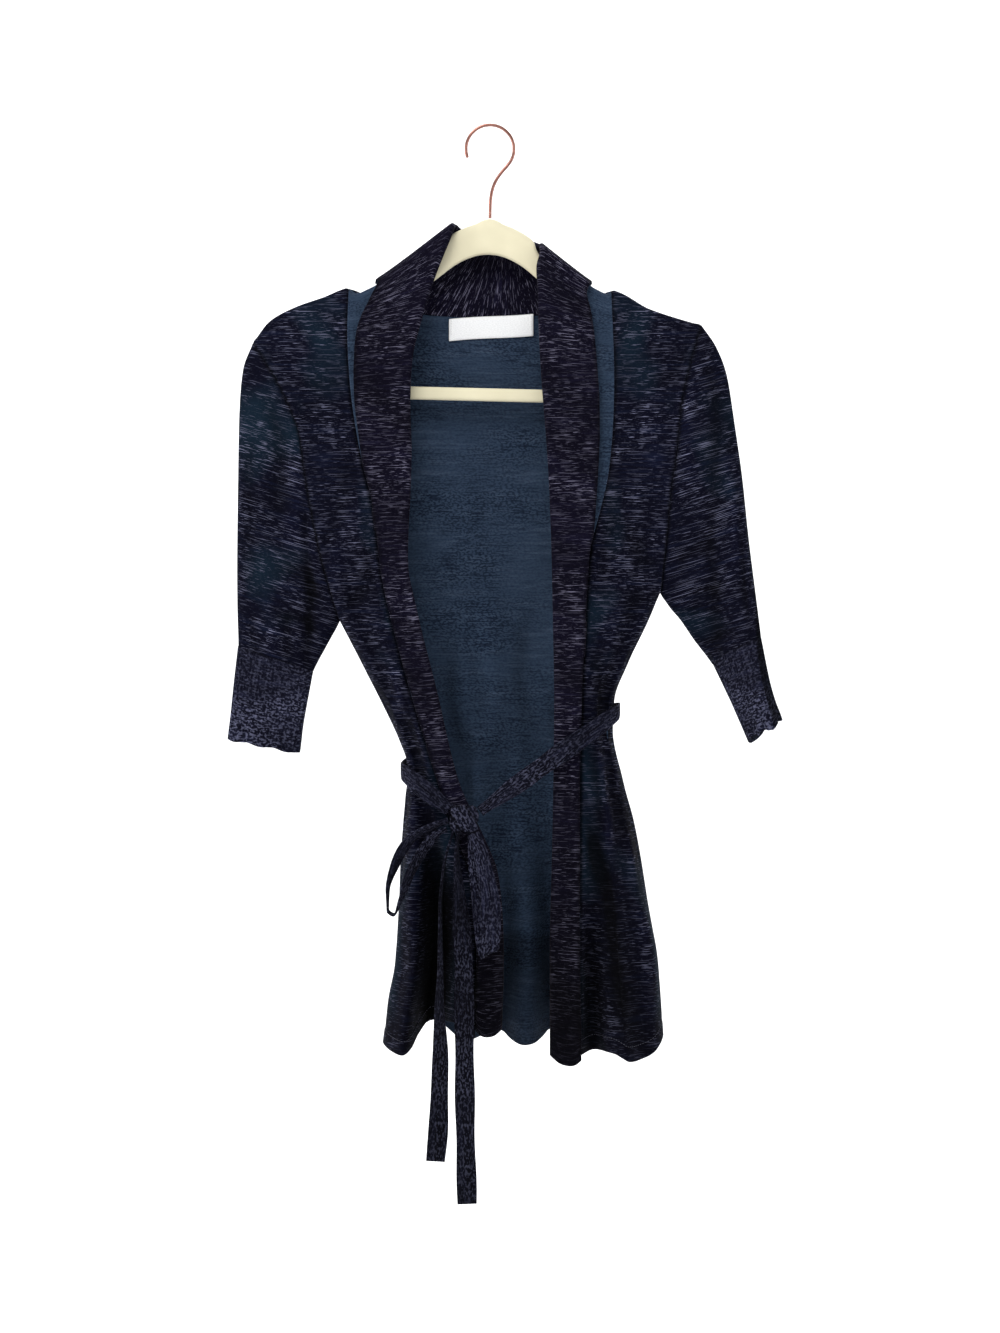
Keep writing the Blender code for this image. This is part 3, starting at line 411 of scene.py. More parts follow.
def sew_cloth(name, node, outer, normals, courses, finishes, thickness=CLOTH_THICKNESS, ring=False,
              shades=None, rim_side=0):
    """A thin wall on a grid of points, with rounded rims; courses holds where each point lies in the
    knitting, shades the light and shade painted on its outer and inner face: below 1 in a fold, above 1
    on a ridge. The rims get painted shade too."""
    rows, columns = outer.shape[:2]
    inner = outer - normals * thickness
    last = columns if ring else columns - 1

    def at(i, j):
        return i * columns + j % columns

    if ring:
        loops = [[(0, j) for j in range(columns + 1)], [(rows - 1, j) for j in range(columns, -1, -1)]]
    else:
        loops = [[(0, j) for j in range(columns)] + [(i, columns - 1) for i in range(1, rows)]
                 + [(rows - 1, j) for j in range(columns - 2, -1, -1)]
                 + [(i, 0) for i in range(rows - 2, -1, -1)]]
    middle = (outer + inner) / 2
    rim_places, rim_index = [], {}
    for loop in loops:
        for i, j in loop:
            j = j % columns
            if (i, j) in rim_index:
                continue
            out = np.zeros(3)
            if i == 0:
                out += unit(middle[0, j] - middle[1, j])
            if i == rows - 1:
                out += unit(middle[-1, j] - middle[-2, j])
            if not ring and j == 0:
                out += unit(middle[i, 0] - middle[i, 1])
            if not ring and j == columns - 1:
                out += unit(middle[i, -1] - middle[i, -2])
            rim_index[(i, j)] = len(rim_places)
            rim_places.append(middle[i, j] + unit(out) * thickness * RIM_BULGE)
    shift, rim = rows * columns, 2 * rows * columns
    faces, wools, sides = [], [], []
    for i in range(rows - 1):
        for j in range(last):
            corners = [(i, j), (i, j + 1), (i + 1, j + 1), (i + 1, j)]
            faces.append([at(*c) for c in corners])
            wools.append([courses[c] for c in corners])
            sides.append(0)
            faces.append([shift + at(*c) for c in corners[::-1]])
            wools.append([courses[c] for c in corners[::-1]])
            sides.append(1)
    for loop in loops:
        for p, q in zip(loop, loop[1:]):
            mid_p, mid_q = (rim + rim_index[(c[0], c[1] % columns)] for c in (p, q))
            faces.append([at(*q), at(*p), mid_p, mid_q])
            faces.append([mid_q, mid_p, shift + at(*p), shift + at(*q)])
            wools += [[courses[q], courses[p], courses[p], courses[q]]] * 2
            sides += [rim_side, rim_side]
    facing = np.cross(outer[:-1, 1:] - outer[:-1, :-1], outer[1:, :-1] - outer[:-1, :-1])
    if np.sum(facing * normals[:-1, :-1]) < 0:
        faces = [face[::-1] for face in faces]
        wools = [wool[::-1] for wool in wools]
    places = np.concatenate((outer.reshape(-1, 3), inner.reshape(-1, 3), np.array(rim_places)))
    if shades is None:
        shades = (np.ones((rows, columns)), np.ones((rows, columns)))
    # The rims get a little painted shade.
    rim_shades = np.full(len(rim_places), RIM_PAINTED_SHADE)
    all_shades = np.concatenate((shades[0].ravel(), shades[1].ravel(), rim_shades))
    mesh = knit_mesh(name, places, faces, wools, all_shades)
    mesh.polygons.foreach_set("material_index", sides)
    for finish in finishes:
        mesh.materials.append(finish)
    return add_piece(mesh, node)


def add_node(tree, kind, inputs=None, **settings):
    node = tree.nodes.new(kind)
    for key, value in settings.items():
        setattr(node, key, value)
    for key, value in (inputs or {}).items():
        if isinstance(value, bpy.types.NodeSocket):
            tree.links.new(value, node.inputs[key])
        else:
            node.inputs[key].default_value = value
    return node


def slub_marks(tree, courses, length, height, low, high, shift):
    """Thin marks that lie along the courses: 1 on a mark and 0 off it."""
    place = add_node(tree, "ShaderNodeMapping", {
        "Vector": courses, "Scale": (1 / length, 1 / height, 1), "Location": (shift, shift * 0.7, shift)})
    cloud = add_node(tree, "ShaderNodeTexNoise", {
        "Vector": place.outputs[0], "Scale": 1.0, "Detail": 1.2, "Roughness": 0.45}, noise_dimensions="2D")
    return add_node(tree, "ShaderNodeMapRange", {
        0: cloud.outputs[0], 1: low, 2: high, 3: 0.0, 4: 1.0}).outputs[0]


def blend_colour(tree, share, first, second):
    mix = add_node(tree, "ShaderNodeMix", {"Factor": share, 6: first, 7: second}, data_type="RGBA")
    return mix.outputs[2]


def times(tree, first, second):
    return add_node(tree, "ShaderNodeMath", {0: first, 1: second}, operation="MULTIPLY").outputs[0]


def plus(tree, first, second):
    return add_node(tree, "ShaderNodeMath", {0: first, 1: second}, operation="ADD").outputs[0]


def knit_material(name, ground, tint, fleck, marks, patches=None, sheen=0.008, relief=0.5):
    """Slub knit: a ground that drifts towards a tint, crossed by flecks; marks lists each kind of fleck."""
    material, tree, shader = new_finish(name, 0.92)
    courses = add_node(tree, "ShaderNodeUVMap", uv_map="courses").outputs[0]
    drift = slub_marks(tree, courses, 0.06, 0.009, 0.35, 0.72, 3.1)
    bands = slub_marks(tree, courses, 0.030, 0.0022, 0.42, 0.66, 7.7)
    colour = blend_colour(tree, times(tree, drift, bands), (*ground, 1), (*tint, 1))
    if patches:
        cloud = slub_marks(tree, courses, 0.055, 0.09, 0.56, 0.78, 24.4)
        colour = blend_colour(tree, cloud, colour, (*patches, 1))
    crowd = slub_marks(tree, courses, 0.07, 0.035, 0.36, 0.66, 31.7)
    busy = add_node(tree, "ShaderNodeMath", {0: crowd, 1: 0.65, 2: 0.35}, operation="MULTIPLY_ADD")
    height = times(tree, bands, 0.2)
    for length, thick, low, high, strength, shift in marks:
        mark = times(tree, slub_marks(tree, courses, length, thick, low, high, shift), busy.outputs[0])
        colour = blend_colour(tree, times(tree, mark, strength), colour, (*fleck, 1))
        height = plus(tree, height, times(tree, mark, strength))
    bump = add_node(tree, "ShaderNodeBump", {"Height": height, "Distance": 0.0005, "Strength": relief})
    # The yarn's colour is scaled by the light and shade painted on each point: below 1 for painted shade,
    # above 1 for painted highlight.
    shade = add_node(tree, "ShaderNodeAttribute", attribute_name="painted_shade").outputs["Fac"]
    shaded = add_node(tree, "ShaderNodeVectorMath", {0: colour, "Scale": shade}, operation="SCALE")
    tree.links.new(bump.outputs[0], shader.inputs["Normal"])
    tree.links.new(shaded.outputs[0], shader.inputs["Base Color"])
    shader.inputs["Sheen Weight"].default_value = sheen
    shader.inputs["Sheen Roughness"].default_value = 0.4
    shader.inputs["Specular IOR Level"].default_value = 0.06
    return material


navy_knit = knit_material(
    "navy_slub_knit", (0.0012, 0.0013, 0.0058), (0.0034, 0.0048, 0.0150), (0.128, 0.132, 0.200),
    [(0.0100, 0.00072, 0.685, 0.725, 0.95, 1.3), (0.0026, 0.0007, 0.66, 0.76, 0.22, 5.9),
     (0.0250, 0.00074, 0.685, 0.72, 1.0, 11.3)], patches=(0.0036, 0.0100, 0.0190))
teal_wrong_side = knit_material(
    "teal_wrong_side", (0.0250, 0.0410, 0.0700), (0.0400, 0.0600, 0.0960), (0.0036, 0.0070, 0.0170),
    [(0.018, 0.0013, 0.57, 0.68, 0.72, 2.3), (0.0026, 0.0015, 0.47, 0.58, 0.70, 8.1)])

SKIRT_FROM = -590.0
SKIRT_FADE = 230.0
SKIRT_DARKER = 0.5
HEM_PROUD = 0.55
HEM_GROOVE = 0.5
SEAM_PROUD = 0.45
SEAM_DIP = 0.35
TURNINGS = 3.0
SEAM_FROM = 17.0
SEAM_SHADOW = 0.6

# How far the hem hangs below the straight line between its ends, by its place from the side seam.
LEFT_HEM = Table("across drop", [
    (0, 0), (0.06, 5), (0.13, 8.5), (0.22, 10), (0.32, 9.6), (0.42, 7), (0.52, 1), (0.62, -5), (0.8, -10),
    (1, -12)])
RIGHT_HEM = Table("across drop", [
    (0, 0), (0.08, 4), (0.16, 6.5), (0.24, 8), (0.32, 4), (0.38, -5), (0.52, -15), (0.8, -15), (0.92, -8),
    (1, 0)])
HEM_REACH = 150.0

HEM_DISTANCES = np.concatenate(([0, 1.0, 2.5, 5, 8, 10.6, 11.6, 12.4, 13.2, 14.4, 17, 20.5],
                                np.arange(24.5, UNDERARM_HEIGHT - 2, 4.4)))
BODY_HEIGHTS = HEM_DISTANCES / UNDERARM_HEIGHT
BODY_STOPS = armhole_stops(64)
FRONT_ACROSS = np.unique(np.concatenate(((np.arange(45) / 44) ** SEAM_DRAW, [0.972, 0.985, 0.994])))


def hem_relief(points):
    """The turned hem stands proud of the cloth, with a groove where the stitches draw it in."""
    rise = np.linalg.norm(points - points[:1], axis=2)
    proud = HEM_PROUD * ease((HEM_TURN + 1.6 - rise) / 1.4)
    return proud - HEM_GROOVE * np.exp(-((rise - HEM_TURN) / 0.9) ** 2)


def seam_relief(points, columns):
    """Where a seam's turnings lie under the cloth it stands a little proud, and dips at the seam itself."""
    lift = np.zeros(points.shape[:2])
    for column in columns:
        off = np.linalg.norm(points - points[:, column][:, None], axis=2)
        lift += SEAM_PROUD * np.exp(-((off - TURNINGS) / 2.2) ** 2) - SEAM_DIP * np.exp(-off ** 2)
    return lift


def course_places(points):
    """In the body the courses lie level, so a point's place is its way along the row and its height."""
    return np.stack([surface_lengths(points, 1), points[..., 2] * MM], axis=2)


def skirt_shade(heights):
    """Less light reaches the skirt than the shoulders, so its yarn looks darker from the waist down."""
    return 1 - SKIRT_DARKER * ease((SKIRT_FROM - heights) / SKIRT_FADE)


def fold_shades(folded, lift):
    """Painted shade in the troughs of folds and creases and painted highlight on their ridges, seen from
    outside and from inside: a trough on one side is a ridge on the other.
    """
    outside = np.clip(1 + folded / 34, 0.06, 1.3) * np.clip(1 + lift / 5, 0.2, 1.4)
    inside = np.clip(1 - folded / 75, 0.45, 1.15) * np.clip(1 - lift / 9, 0.5, 1.2)
    return outside, inside


def seam_shades(points, edges):
    """The cloth turns in at its seams, so painted shade darkens it in the last few millimetres before them.
    """
    shade = np.ones(points.shape[:2])
    for edge in edges:
        shade *= 1 - SEAM_SHADOW * np.exp(-(np.linalg.norm(points - edge, axis=2) / 2.6) ** 2)
    return shade


def let_down_hem(points, hem, across):
    """Lowers the hem by its profile, and the rows above it less and less, up to HEM_REACH."""
    hang = ease((HEM_REACH - BODY_HEIGHTS * UNDERARM_HEIGHT) / HEM_REACH)
    points[:len(BODY_HEIGHTS), :, 2] -= hang[:, None] * hem.read("drop", "across", across)


def fade_to_seams(points, first, last):
    """0 at the panel's two side seams, and 1 from first and last millimetres in."""
    return ease(np.linalg.norm(points - points[:, :1], axis=2) / first) * ease(
        np.linalg.norm(points - points[:, -1:], axis=2) / last)


def sew_front(name, side, folds, creases, hem):
    flat = front_points(side, folds, BODY_HEIGHTS, BODY_STOPS, FRONT_ACROSS)
    let_down_hem(flat, hem, FRONT_ACROSS)
    normals = grid_normals(flat)
    normals *= -np.sign(normals[..., 1].mean())
    low = len(BODY_HEIGHTS)
    over_hem = (HEM_DISTANCES < SEAM_FROM).sum()
    lift = crease_heights(flat, creases, fade_to_seams(flat, 9.0, 7.0)) + hem_relief(flat)
    lift[over_hem:] += seam_relief(flat, (0, -1))[over_hem:]
    outer = flat + normals * lift[..., None]
    outer[:, 0, 1] = np.minimum(outer[:, 0, 1], -SEAM_GAP / 2)
    outside, inside = fold_shades(fold_depth(folds, FRONT_ACROSS[None, :], flat[..., 2]), lift)
    outside *= skirt_shade(flat[..., 2])
    shades = outside * seam_shades(flat, (flat[:, :1], flat[:, -1:])), inside
    normals = grid_normals(outer)
    normals *= -np.sign(normals[..., 1].mean())
    normals[:low, 0] = flatten(normals[:low, 0], 1)
    normals[-1] = flatten(normals[-1], 1)
    normals[low:, 0] = armhole_normals(side, BODY_STOPS)
    outer[low:, 0] -= down_sleeve(side, BODY_STOPS) * SEAM_GAP / 2
    piece = sew_cloth(name, name.replace("panel_", ""), outer, normals, course_places(flat),
                      (navy_knit, teal_wrong_side), shades=shades)
    return piece, outer


STITCH_LIFT = 0.15


def stitch_tree():
    """A node tree that lays short threads along every line of the mesh it is given."""
    tree = bpy.data.node_groups.new("row_of_stitches", "GeometryNodeTree")
    for socket, kind in (("Line", "Geometry"), ("Spacing", "Float"), ("Length", "Float"),
                         ("Thread radius", "Float"), ("Thread", "Material")):
        tree.interface.new_socket(socket, in_out="INPUT", socket_type="NodeSocket" + kind)
    tree.interface.new_socket("Stitches", in_out="OUTPUT", socket_type="NodeSocketGeometry")
    source, result = tree.nodes.new("NodeGroupInput"), tree.nodes.new("NodeGroupOutput")
    curve = add_node(tree, "GeometryNodeMeshToCurve", {0: source.outputs["Line"]})
    spread = add_node(tree, "GeometryNodeResampleCurve", {"Curve": curve.outputs[0]})
    spread.mode = "LENGTH"
    tree.links.new(source.outputs["Spacing"], spread.inputs["Length"])
    ball = add_node(tree, "GeometryNodeMeshUVSphere", {"Segments": 6, "Rings": 5, "Radius": 1.0})
    size = add_node(tree, "ShaderNodeCombineXYZ", {
        0: source.outputs["Thread radius"], 1: source.outputs["Thread radius"], 2: source.outputs["Length"]})
    thread = add_node(tree, "GeometryNodeTransform", {"Geometry": ball.outputs[0], "Scale": size.outputs[0]})
    tangent = add_node(tree, "GeometryNodeInputTangent")
    turn = add_node(tree, "FunctionNodeAlignRotationToVector", {"Vector": tangent.outputs[0]}, axis="Z")
    placed = add_node(tree, "GeometryNodeInstanceOnPoints", {
        "Points": spread.outputs[0], "Instance": thread.outputs[0], "Rotation": turn.outputs[0]})
    real = add_node(tree, "GeometryNodeRealizeInstances", {0: placed.outputs[0]})
    dyed = add_node(tree, "GeometryNodeSetMaterial", {
        "Geometry": real.outputs[0], "Material": source.outputs["Thread"]})
    tree.links.new(dyed.outputs[0], result.inputs["Stitches"])
    return tree


STITCH_TREE = stitch_tree()


def thread_material(name, colour):
    """Thread in one colour, a little darker between its twists, where shade is painted."""
    thread, tree, shader = new_finish(name, 0.7)
    place = add_node(tree, "ShaderNodeTexCoord").outputs["Object"]
    twist = add_node(tree, "ShaderNodeTexNoise", {"Vector": place, "Scale": 900.0, "Detail": 1.0})
    tree.links.new(blend_colour(tree, twist.outputs[0], (*(c * 0.6 for c in colour), 1), (*colour, 1)),
                   shader.inputs["Base Color"])
    return thread


def sew_stitches(name, lines, spacing, length, radius, thread):
    """Stitches along lines given in millimetres, as one plain mesh."""
    places, edges = [], []
    for line in lines:
        start = len(places)
        places += (np.asarray(line) * MM).tolist()
        edges += [(start + k, start + k + 1) for k in range(len(line) - 1)]
    guide = bpy.data.meshes.new(name + "_line")
    guide.from_pydata(places, edges, [])
    holder = bpy.data.objects.new(name + "_line", guide)
    bpy.context.scene.collection.objects.link(holder)
    rows = holder.modifiers.new("stitches", "NODES")
    rows.node_group = STITCH_TREE
    values = {"Spacing": spacing * MM, "Length": length / 2 * MM, "Thread radius": radius * MM,
              "Thread": thread}
    for item in STITCH_TREE.interface.items_tree:
        if item.in_out == "INPUT" and item.name in values:
            rows[item.identifier] = values[item.name]
    shown = holder.evaluated_get(bpy.context.evaluated_depsgraph_get())
    mesh = bpy.data.meshes.new_from_object(shown)
    mesh.name = name
    mesh.shade_smooth()
    bpy.data.objects.remove(holder)
    return add_piece(mesh)


navy_thread = thread_material("navy_thread", (0.035, 0.035, 0.055))


def sew_hem_stitches(name, grid, towards):
    """One row of stitches along the top of a panel's turned hem, just proud of the face it turns towards."""
    normals = grid_normals(grid)
    normals *= np.sign(np.sum(normals * np.array(towards)))
    row = int(np.argmin(np.abs(HEM_DISTANCES - HEM_TURN)))
    line = (grid + normals * STITCH_LIFT)[row, 1:-1]
    return sew_stitches(name, [line], 2.6, 1.9, 0.28, navy_thread)


left_front, left_front_grid = sew_front("panel_front_left", LEFT, LEFT_FOLDS, LEFT_CREASES, LEFT_HEM)
left_stitches = sew_hem_stitches("hem_stitches_left", left_front_grid, (0, -1, 0))

right_front, right_front_grid = sew_front("panel_front_right", RIGHT, RIGHT_FOLDS, RIGHT_CREASES, RIGHT_HEM)
right_stitches = sew_hem_stitches("hem_stitches_right", right_front_grid, (0, -1, 0))


# The back: one panel, hem to neckline, in the same knit. Its wrong side shows through the open wrap,
# and below the sash it falls in flutes because the waist is drawn in.

BACK_FOLDS = Table("across half_width depth top full", [
    (0.13, 0.09, 12, -620, -800),
    (0.25, 0.10, -26, -590, -800),
    (0.39, 0.09, 13, -620, -800),
    (0.51, 0.09, -27, -600, -800),
    (0.64, 0.09, 14, -600, -790),
    (0.76, 0.10, -25, -590, -800),
    (0.88, 0.08, 10, -640, -800),
    (0.35, 0.10, -5, -420, -520),
    (0.70, 0.11, -6, -380, -500),
])
BACK_CREASES = Table("x1 z1 x2 z2 bow width depth", [
    (-60, -572, -72, -470, -5, 9, -2.2),
    (-30, -566, -36, -460, 4, 9, 2.0),
    (0, -556, -8, -430, -4, 10, -2.0),
    (34, -548, 30, -440, 4, 9, 1.8),
    (66, -540, 74, -430, 5, 10, -2.2),
    (95, -532, 112, -450, -5, 9, 2.0),
    (-52, -585, -50, -660, 3, 7, -2.0),
    (-12, -575, -8, -650, -3, 7, -1.8),
    (22, -566, 24, -660, 3, 8, -2.0),
    (56, -556, 62, -640, -3, 7, -1.8),
    (90, -545, 102, -620, 4, 8, -2.0),
    (-130, -440, -80, -400, 8, 12, -1.4),
    (148, -415, 100, -380, -8, 12, -1.4),
    (-120, -250, 120, -244, -5, 7, 1.0),
])
SHOULDER_DRAW = 1.6


def back_stops(shoulder_steps, neck_steps):
    """Places across the back, with one column exactly at each end of the neckline."""
    left, right = RIGHT["armhole"].columns["x"][-1], LEFT["armhole"].columns["x"][-1]
    neck_start = (RIGHT["edge"].columns["x"][-1] - left) / (right - left)
    neck_end = (LEFT["edge"].columns["x"][-1] - left) / (right - left)
    drawn = (np.arange(shoulder_steps + 1) / shoulder_steps) ** SHOULDER_DRAW
    between = neck_start + (neck_end - neck_start) * np.arange(neck_steps) / neck_steps
    return np.concatenate((neck_start * drawn[:-1], between, 1 - (1 - neck_end) * drawn[::-1]))


def neck_share(x):
    """0 on the shoulder seams, rising to 1 at the middle of the back neckline."""
    start, end = RIGHT["edge"].columns["x"][-1], LEFT["edge"].columns["x"][-1]
    off = np.abs(x - (start + end) / 2) / ((end - start) / 2)
    return np.sqrt(np.maximum(0.0, 1.0 - np.minimum(1.0, off) ** 2))


def back_points(heights, stops, across):
    """The back's outer points, row by row from the right side to the left."""
    x1, z1, ups, shares = body_rows(RIGHT, heights, stops)
    x2, z2, _, shares_left = body_rows(LEFT, heights, stops)
    low = (ups < 0)[:, None]
    under = len(heights)
    x = x1[:, None] + (x2 - x1)[:, None] * across
    z = z1[:, None] + (z2 - z1)[:, None] * across
    share = shares[:, None] + (shares_left - shares)[:, None] * across
    line_z = z1[-1] + (z2[-1] - z1[-1]) * across
    under_z = z1[under] + (z2[under] - z1[under]) * across
    progress = np.where(low, 0.0, (z - under_z) / (line_z - under_z))
    top_x = x1[-1] + (x2[-1] - x1[-1]) * across
    z = z + (SHOULDER_AND_NECKLINE.read("z", "x", top_x) - line_z) * progress ** 3
    neck = neck_share(top_x)[None, :]
    top_share = armhole_share(np.maximum(ups, 0.5))[:, None]
    top_share = np.where(low, 1.0, top_share + (1.0 - top_share) * neck)
    rounding = round_side(np.minimum(across, 1 - across)[None, :], (SIDE_ROUND / (x2 - x1))[:, None])
    stand = share + (top_share - share) * rounding
    depth = HALF_DEPTH.read("back", "z", z) * stand + fold_depth(BACK_FOLDS, across[None, :], z)
    return np.stack([x, np.maximum(depth, SEAM_GAP / 2), z], axis=2)


BACK_HEM = Table("across drop", [
    (0, 0), (0.07, 3), (0.19, -13), (0.31, 5), (0.42, 0), (0.46, 6), (0.50, 8.6), (0.54, 8.2), (0.57, 5),
    (0.60, 0), (0.66, 5), (0.72, 6), (0.80, -2), (0.92, 4), (1, 0)])
DARKER_BELOW = -731.0


def sew_back():
    shoulder_steps, neck_steps = 24, 64
    across = back_stops(shoulder_steps, neck_steps)
    flat = back_points(BODY_HEIGHTS, BODY_STOPS, across)
    let_down_hem(flat, BACK_HEM, across)
    normals = grid_normals(flat)
    normals *= np.sign(normals[..., 1].mean())
    low = len(BODY_HEIGHTS)
    lift = crease_heights(flat, BACK_CREASES, fade_to_seams(flat, 9.0, 9.0)) + hem_relief(flat)
    outer = flat + normals * lift[..., None]
    outer[:, (0, -1), 1] = np.maximum(outer[:, (0, -1), 1], SEAM_GAP / 2)
    normals = grid_normals(outer)
    normals *= np.sign(normals[..., 1].mean())
    for column, side in ((0, RIGHT), (-1, LEFT)):
        normals[:low, column] = flatten(normals[:low, column], 1)
        mirrored = armhole_normals(side, BODY_STOPS)
        mirrored[:, 1] *= -1.0
        normals[low:, column] = mirrored
        outer[low:, column] -= down_sleeve(side, BODY_STOPS) * SEAM_GAP / 2
    on_shoulder = [j for j in range(len(across)) if j <= shoulder_steps or j >= shoulder_steps + neck_steps]
    normals[-1, on_shoulder] = flatten(normals[-1, on_shoulder], 1)
    outside, inside = fold_shades(fold_depth(BACK_FOLDS, across[None, :], flat[..., 2]), lift)
    # Below a wavy line at DARKER_BELOW the inside face of the back is darker.
    line = DARKER_BELOW + 4.0 * np.sin(flat[..., 0] / 17.0)
    inside = inside * (1 - 0.45 * ease((line - flat[..., 2]) / 5.0))
    piece = sew_cloth("panel_back", "back", outer, normals, course_places(flat),
                      (navy_knit, teal_wrong_side), shades=(outside, inside))
    return piece, outer, normals


back, back_grid, back_normals = sew_back()
back_stitches = sew_hem_stitches("hem_stitches_back", back_grid, (0, 1, 0))


# The shawl collar: one long strip seamed to both fronts and the back neck, hem to hem. Its right side, a
# plum navy, faces inwards, and the strip is rolled outwards so that its free edge lies on the fronts.

COLLAR_ROLL_RADIUS = 2.6
PRESSED_ROLL_RADIUS = 1.3
PRESSED_WITHIN = 9.0
SAG_FADE = 0.3
NEAR_SEAM = 0.13
NECK_SEAM_GAP = 0.1
COLLAR_STEP = 4.2
COLLAR_END = 40.0
# The free edge lies still where it meets a shoulder, and the roll is rumpled beside the left shoulder.
CORNER_REACH = 30.0
RUMPLED_REACH = 42.0
RUMPLE = 1.3
CAD_HEIGHTS = np.arange(15) / 15
CAD_STOPS = armhole_stops(12)
CAD_SHOULDER_STEPS, CAD_NECK_STEPS = 8, 14

LEFT_ROLL = Table("seam_z x z fall sag", [
    (-842, 53, -836, 27, 0),
    (-740, 53, -738, 27, 0),
    (-650, 55, -650, 26, 0),
    (-570, 56.5, -570, 24, 0),
    (-514, 57, -514, 24.5, 0),
    (-445, 56, -445, 29, 0),
    (-391, 55, -391, 34, 0),
    (-310, 52, -310, 43, 0),
    (-245, 47, -244, 49, 0),
    (-202, 44, -196, 49, 0),
    (-175, 42.5, -155, 48, 1),
    (-157, 42, -121, 47, 4),
    (-148, 45, -108, 53, 8),
])
RIGHT_ROLL = Table("seam_z x z fall sag", [
    (-814, 11, -812, 24, 0),
    (-742, 12.5, -740, 24, 0),
    (-679, 9, -678, 23, 0),
    (-634, -8, -630, 21, 0),
    (-602, -23, -600, 17, 0),
    (-580, -30, -579, 19, 0),
    (-508, -47, -507, 24, 0),
    (-436, -65, -435, 25, 0),
    (-391, -73, -390, 27, 0),
    (-346, -71.5, -345, 34, 0),
    (-310, -69.5, -309, 42, 0),
    (-242, -71, -241, 49, 0),
    (-206, -67.5, -200, 52, 0),
    (-175, -57, -165, 58, 2),
    (-155, -39, -110, 66, 8),
    (-151, -33, -98, 74, 10),
    (-146, -30, -89.6, 82, 12),
])
BACK_ROLL = Table("across y z", [
    (0.0, 0, -110), (0.12, 13, -103), (0.3, 19, -99), (0.5, 20, -97), (0.7, 18, -96), (0.88, 11, -93.5),
    (1.0, 0, -89.6)])

plum_knit = knit_material(
    "plum_slub_knit", (0.0018, 0.0013, 0.0056), (0.0045, 0.0038, 0.0120), (0.135, 0.128, 0.185),
    [(0.0095, 0.00070, 0.680, 0.722, 0.88, 4.3), (0.0026, 0.0007, 0.66, 0.76, 0.22, 9.9),
     (0.0230, 0.00072, 0.683, 0.72, 0.92, 14.3)])


def roll_point(table, seam_z):
    return np.array([table.read(n, "seam_z", seam_z) for n in ("x", "z", "fall", "sag")])


def collar_stations():
    """Hem to hem round the neck: seam point, wall normal, edge direction, roll point, fall, sag, press and
    gap of each station."""
    across = (np.arange(17) / 16) ** SEAM_DRAW
    stations = []
    halves = []
    for side, folds in ((LEFT, LEFT_FOLDS), (RIGHT, RIGHT_FOLDS)):
        points = front_points(side, folds, CAD_HEIGHTS, CAD_STOPS, across)
        normals = grid_normals(points)
        normals *= -np.sign(normals[..., 1].mean())
        normals[-1] = flatten(normals[-1], 1)
        halves.append((points, normals))
    back_at = back_points(CAD_HEIGHTS, CAD_STOPS, back_stops(CAD_SHOULDER_STEPS, CAD_NECK_STEPS))
    back_facing = grid_normals(back_at)
    back_facing *= np.sign(back_facing[..., 1].mean())
    start, end = roll_point(LEFT_ROLL, LEFT["neck_z"]), roll_point(RIGHT_ROLL, RIGHT["neck_z"])
    for (points, normals), table, order in ((halves[0], LEFT_ROLL, 1), (halves[1], RIGHT_ROLL, -1)):
        group = []
        for i in range(len(points)):
            seam = points[i, -1]
            x, z, fall, sag = roll_point(table, seam[2])
            pressed = max(0.0, 1.0 - abs(seam[1]) / PRESSED_WITHIN)
            gap = NECK_SEAM_GAP if i == len(points) - 1 else SEAM_GAP
            group.append([seam, normals[i, -1], unit(seam - points[i, -2]), np.array([x, seam[1], z]),
                          fall, sag, pressed, gap])
        stations += group[::order]
        if order == -1:
            continue
        for step, j in enumerate(range(CAD_SHOULDER_STEPS + CAD_NECK_STEPS - 1, CAD_SHOULDER_STEPS, -1)):
            share = (step + 1) / CAD_NECK_STEPS
            seam = back_at[-1, j]
            roll = np.array([start[0] + (end[0] - start[0]) * share, BACK_ROLL.read("y", "across", share),
                             BACK_ROLL.read("z", "across", share)])
            pressed = max(0.0, 1.0 - abs(roll[1]) / PRESSED_WITHIN)
            sag = start[3] * ease(1 - share / SAG_FADE) + end[3] * ease(1 - (1 - share) / SAG_FADE)
            stations.append([seam, back_facing[-1, j], unit(seam - back_at[-2, j]), roll,
                             start[2] + (end[2] - start[2]) * share, sag, pressed, NECK_SEAM_GAP])
    return stations


def closer_stations(stations):
    """More stations along the strip, on a smooth curve through the roll points and the seam."""
    fuller = []
    for i in range(len(stations) - 1):
        here, there = stations[i], stations[i + 1]
        before, after = stations[max(i - 1, 0)], stations[min(i + 2, len(stations) - 1)]
        pieces = max(2, math.ceil(np.linalg.norm(there[3] - here[3]) / COLLAR_STEP))
        for step in range(pieces):
            t = step / pieces
            values = [a + (b - a) * t for a, b in zip(here, there)]
            values[1], values[2] = unit(values[1]), unit(values[2])
            for k in (0, 3):
                pull = (there[k] - before[k]) * (t - 2 * t * t + t ** 3)
                pull = pull + (after[k] - here[k]) * (t ** 3 - t * t)
                values[k] = here[k] + (there[k] - here[k]) * (3 * t * t - 2 * t ** 3) + pull / 2
            fuller.append(values)
    fuller.append(stations[-1])
    return fuller


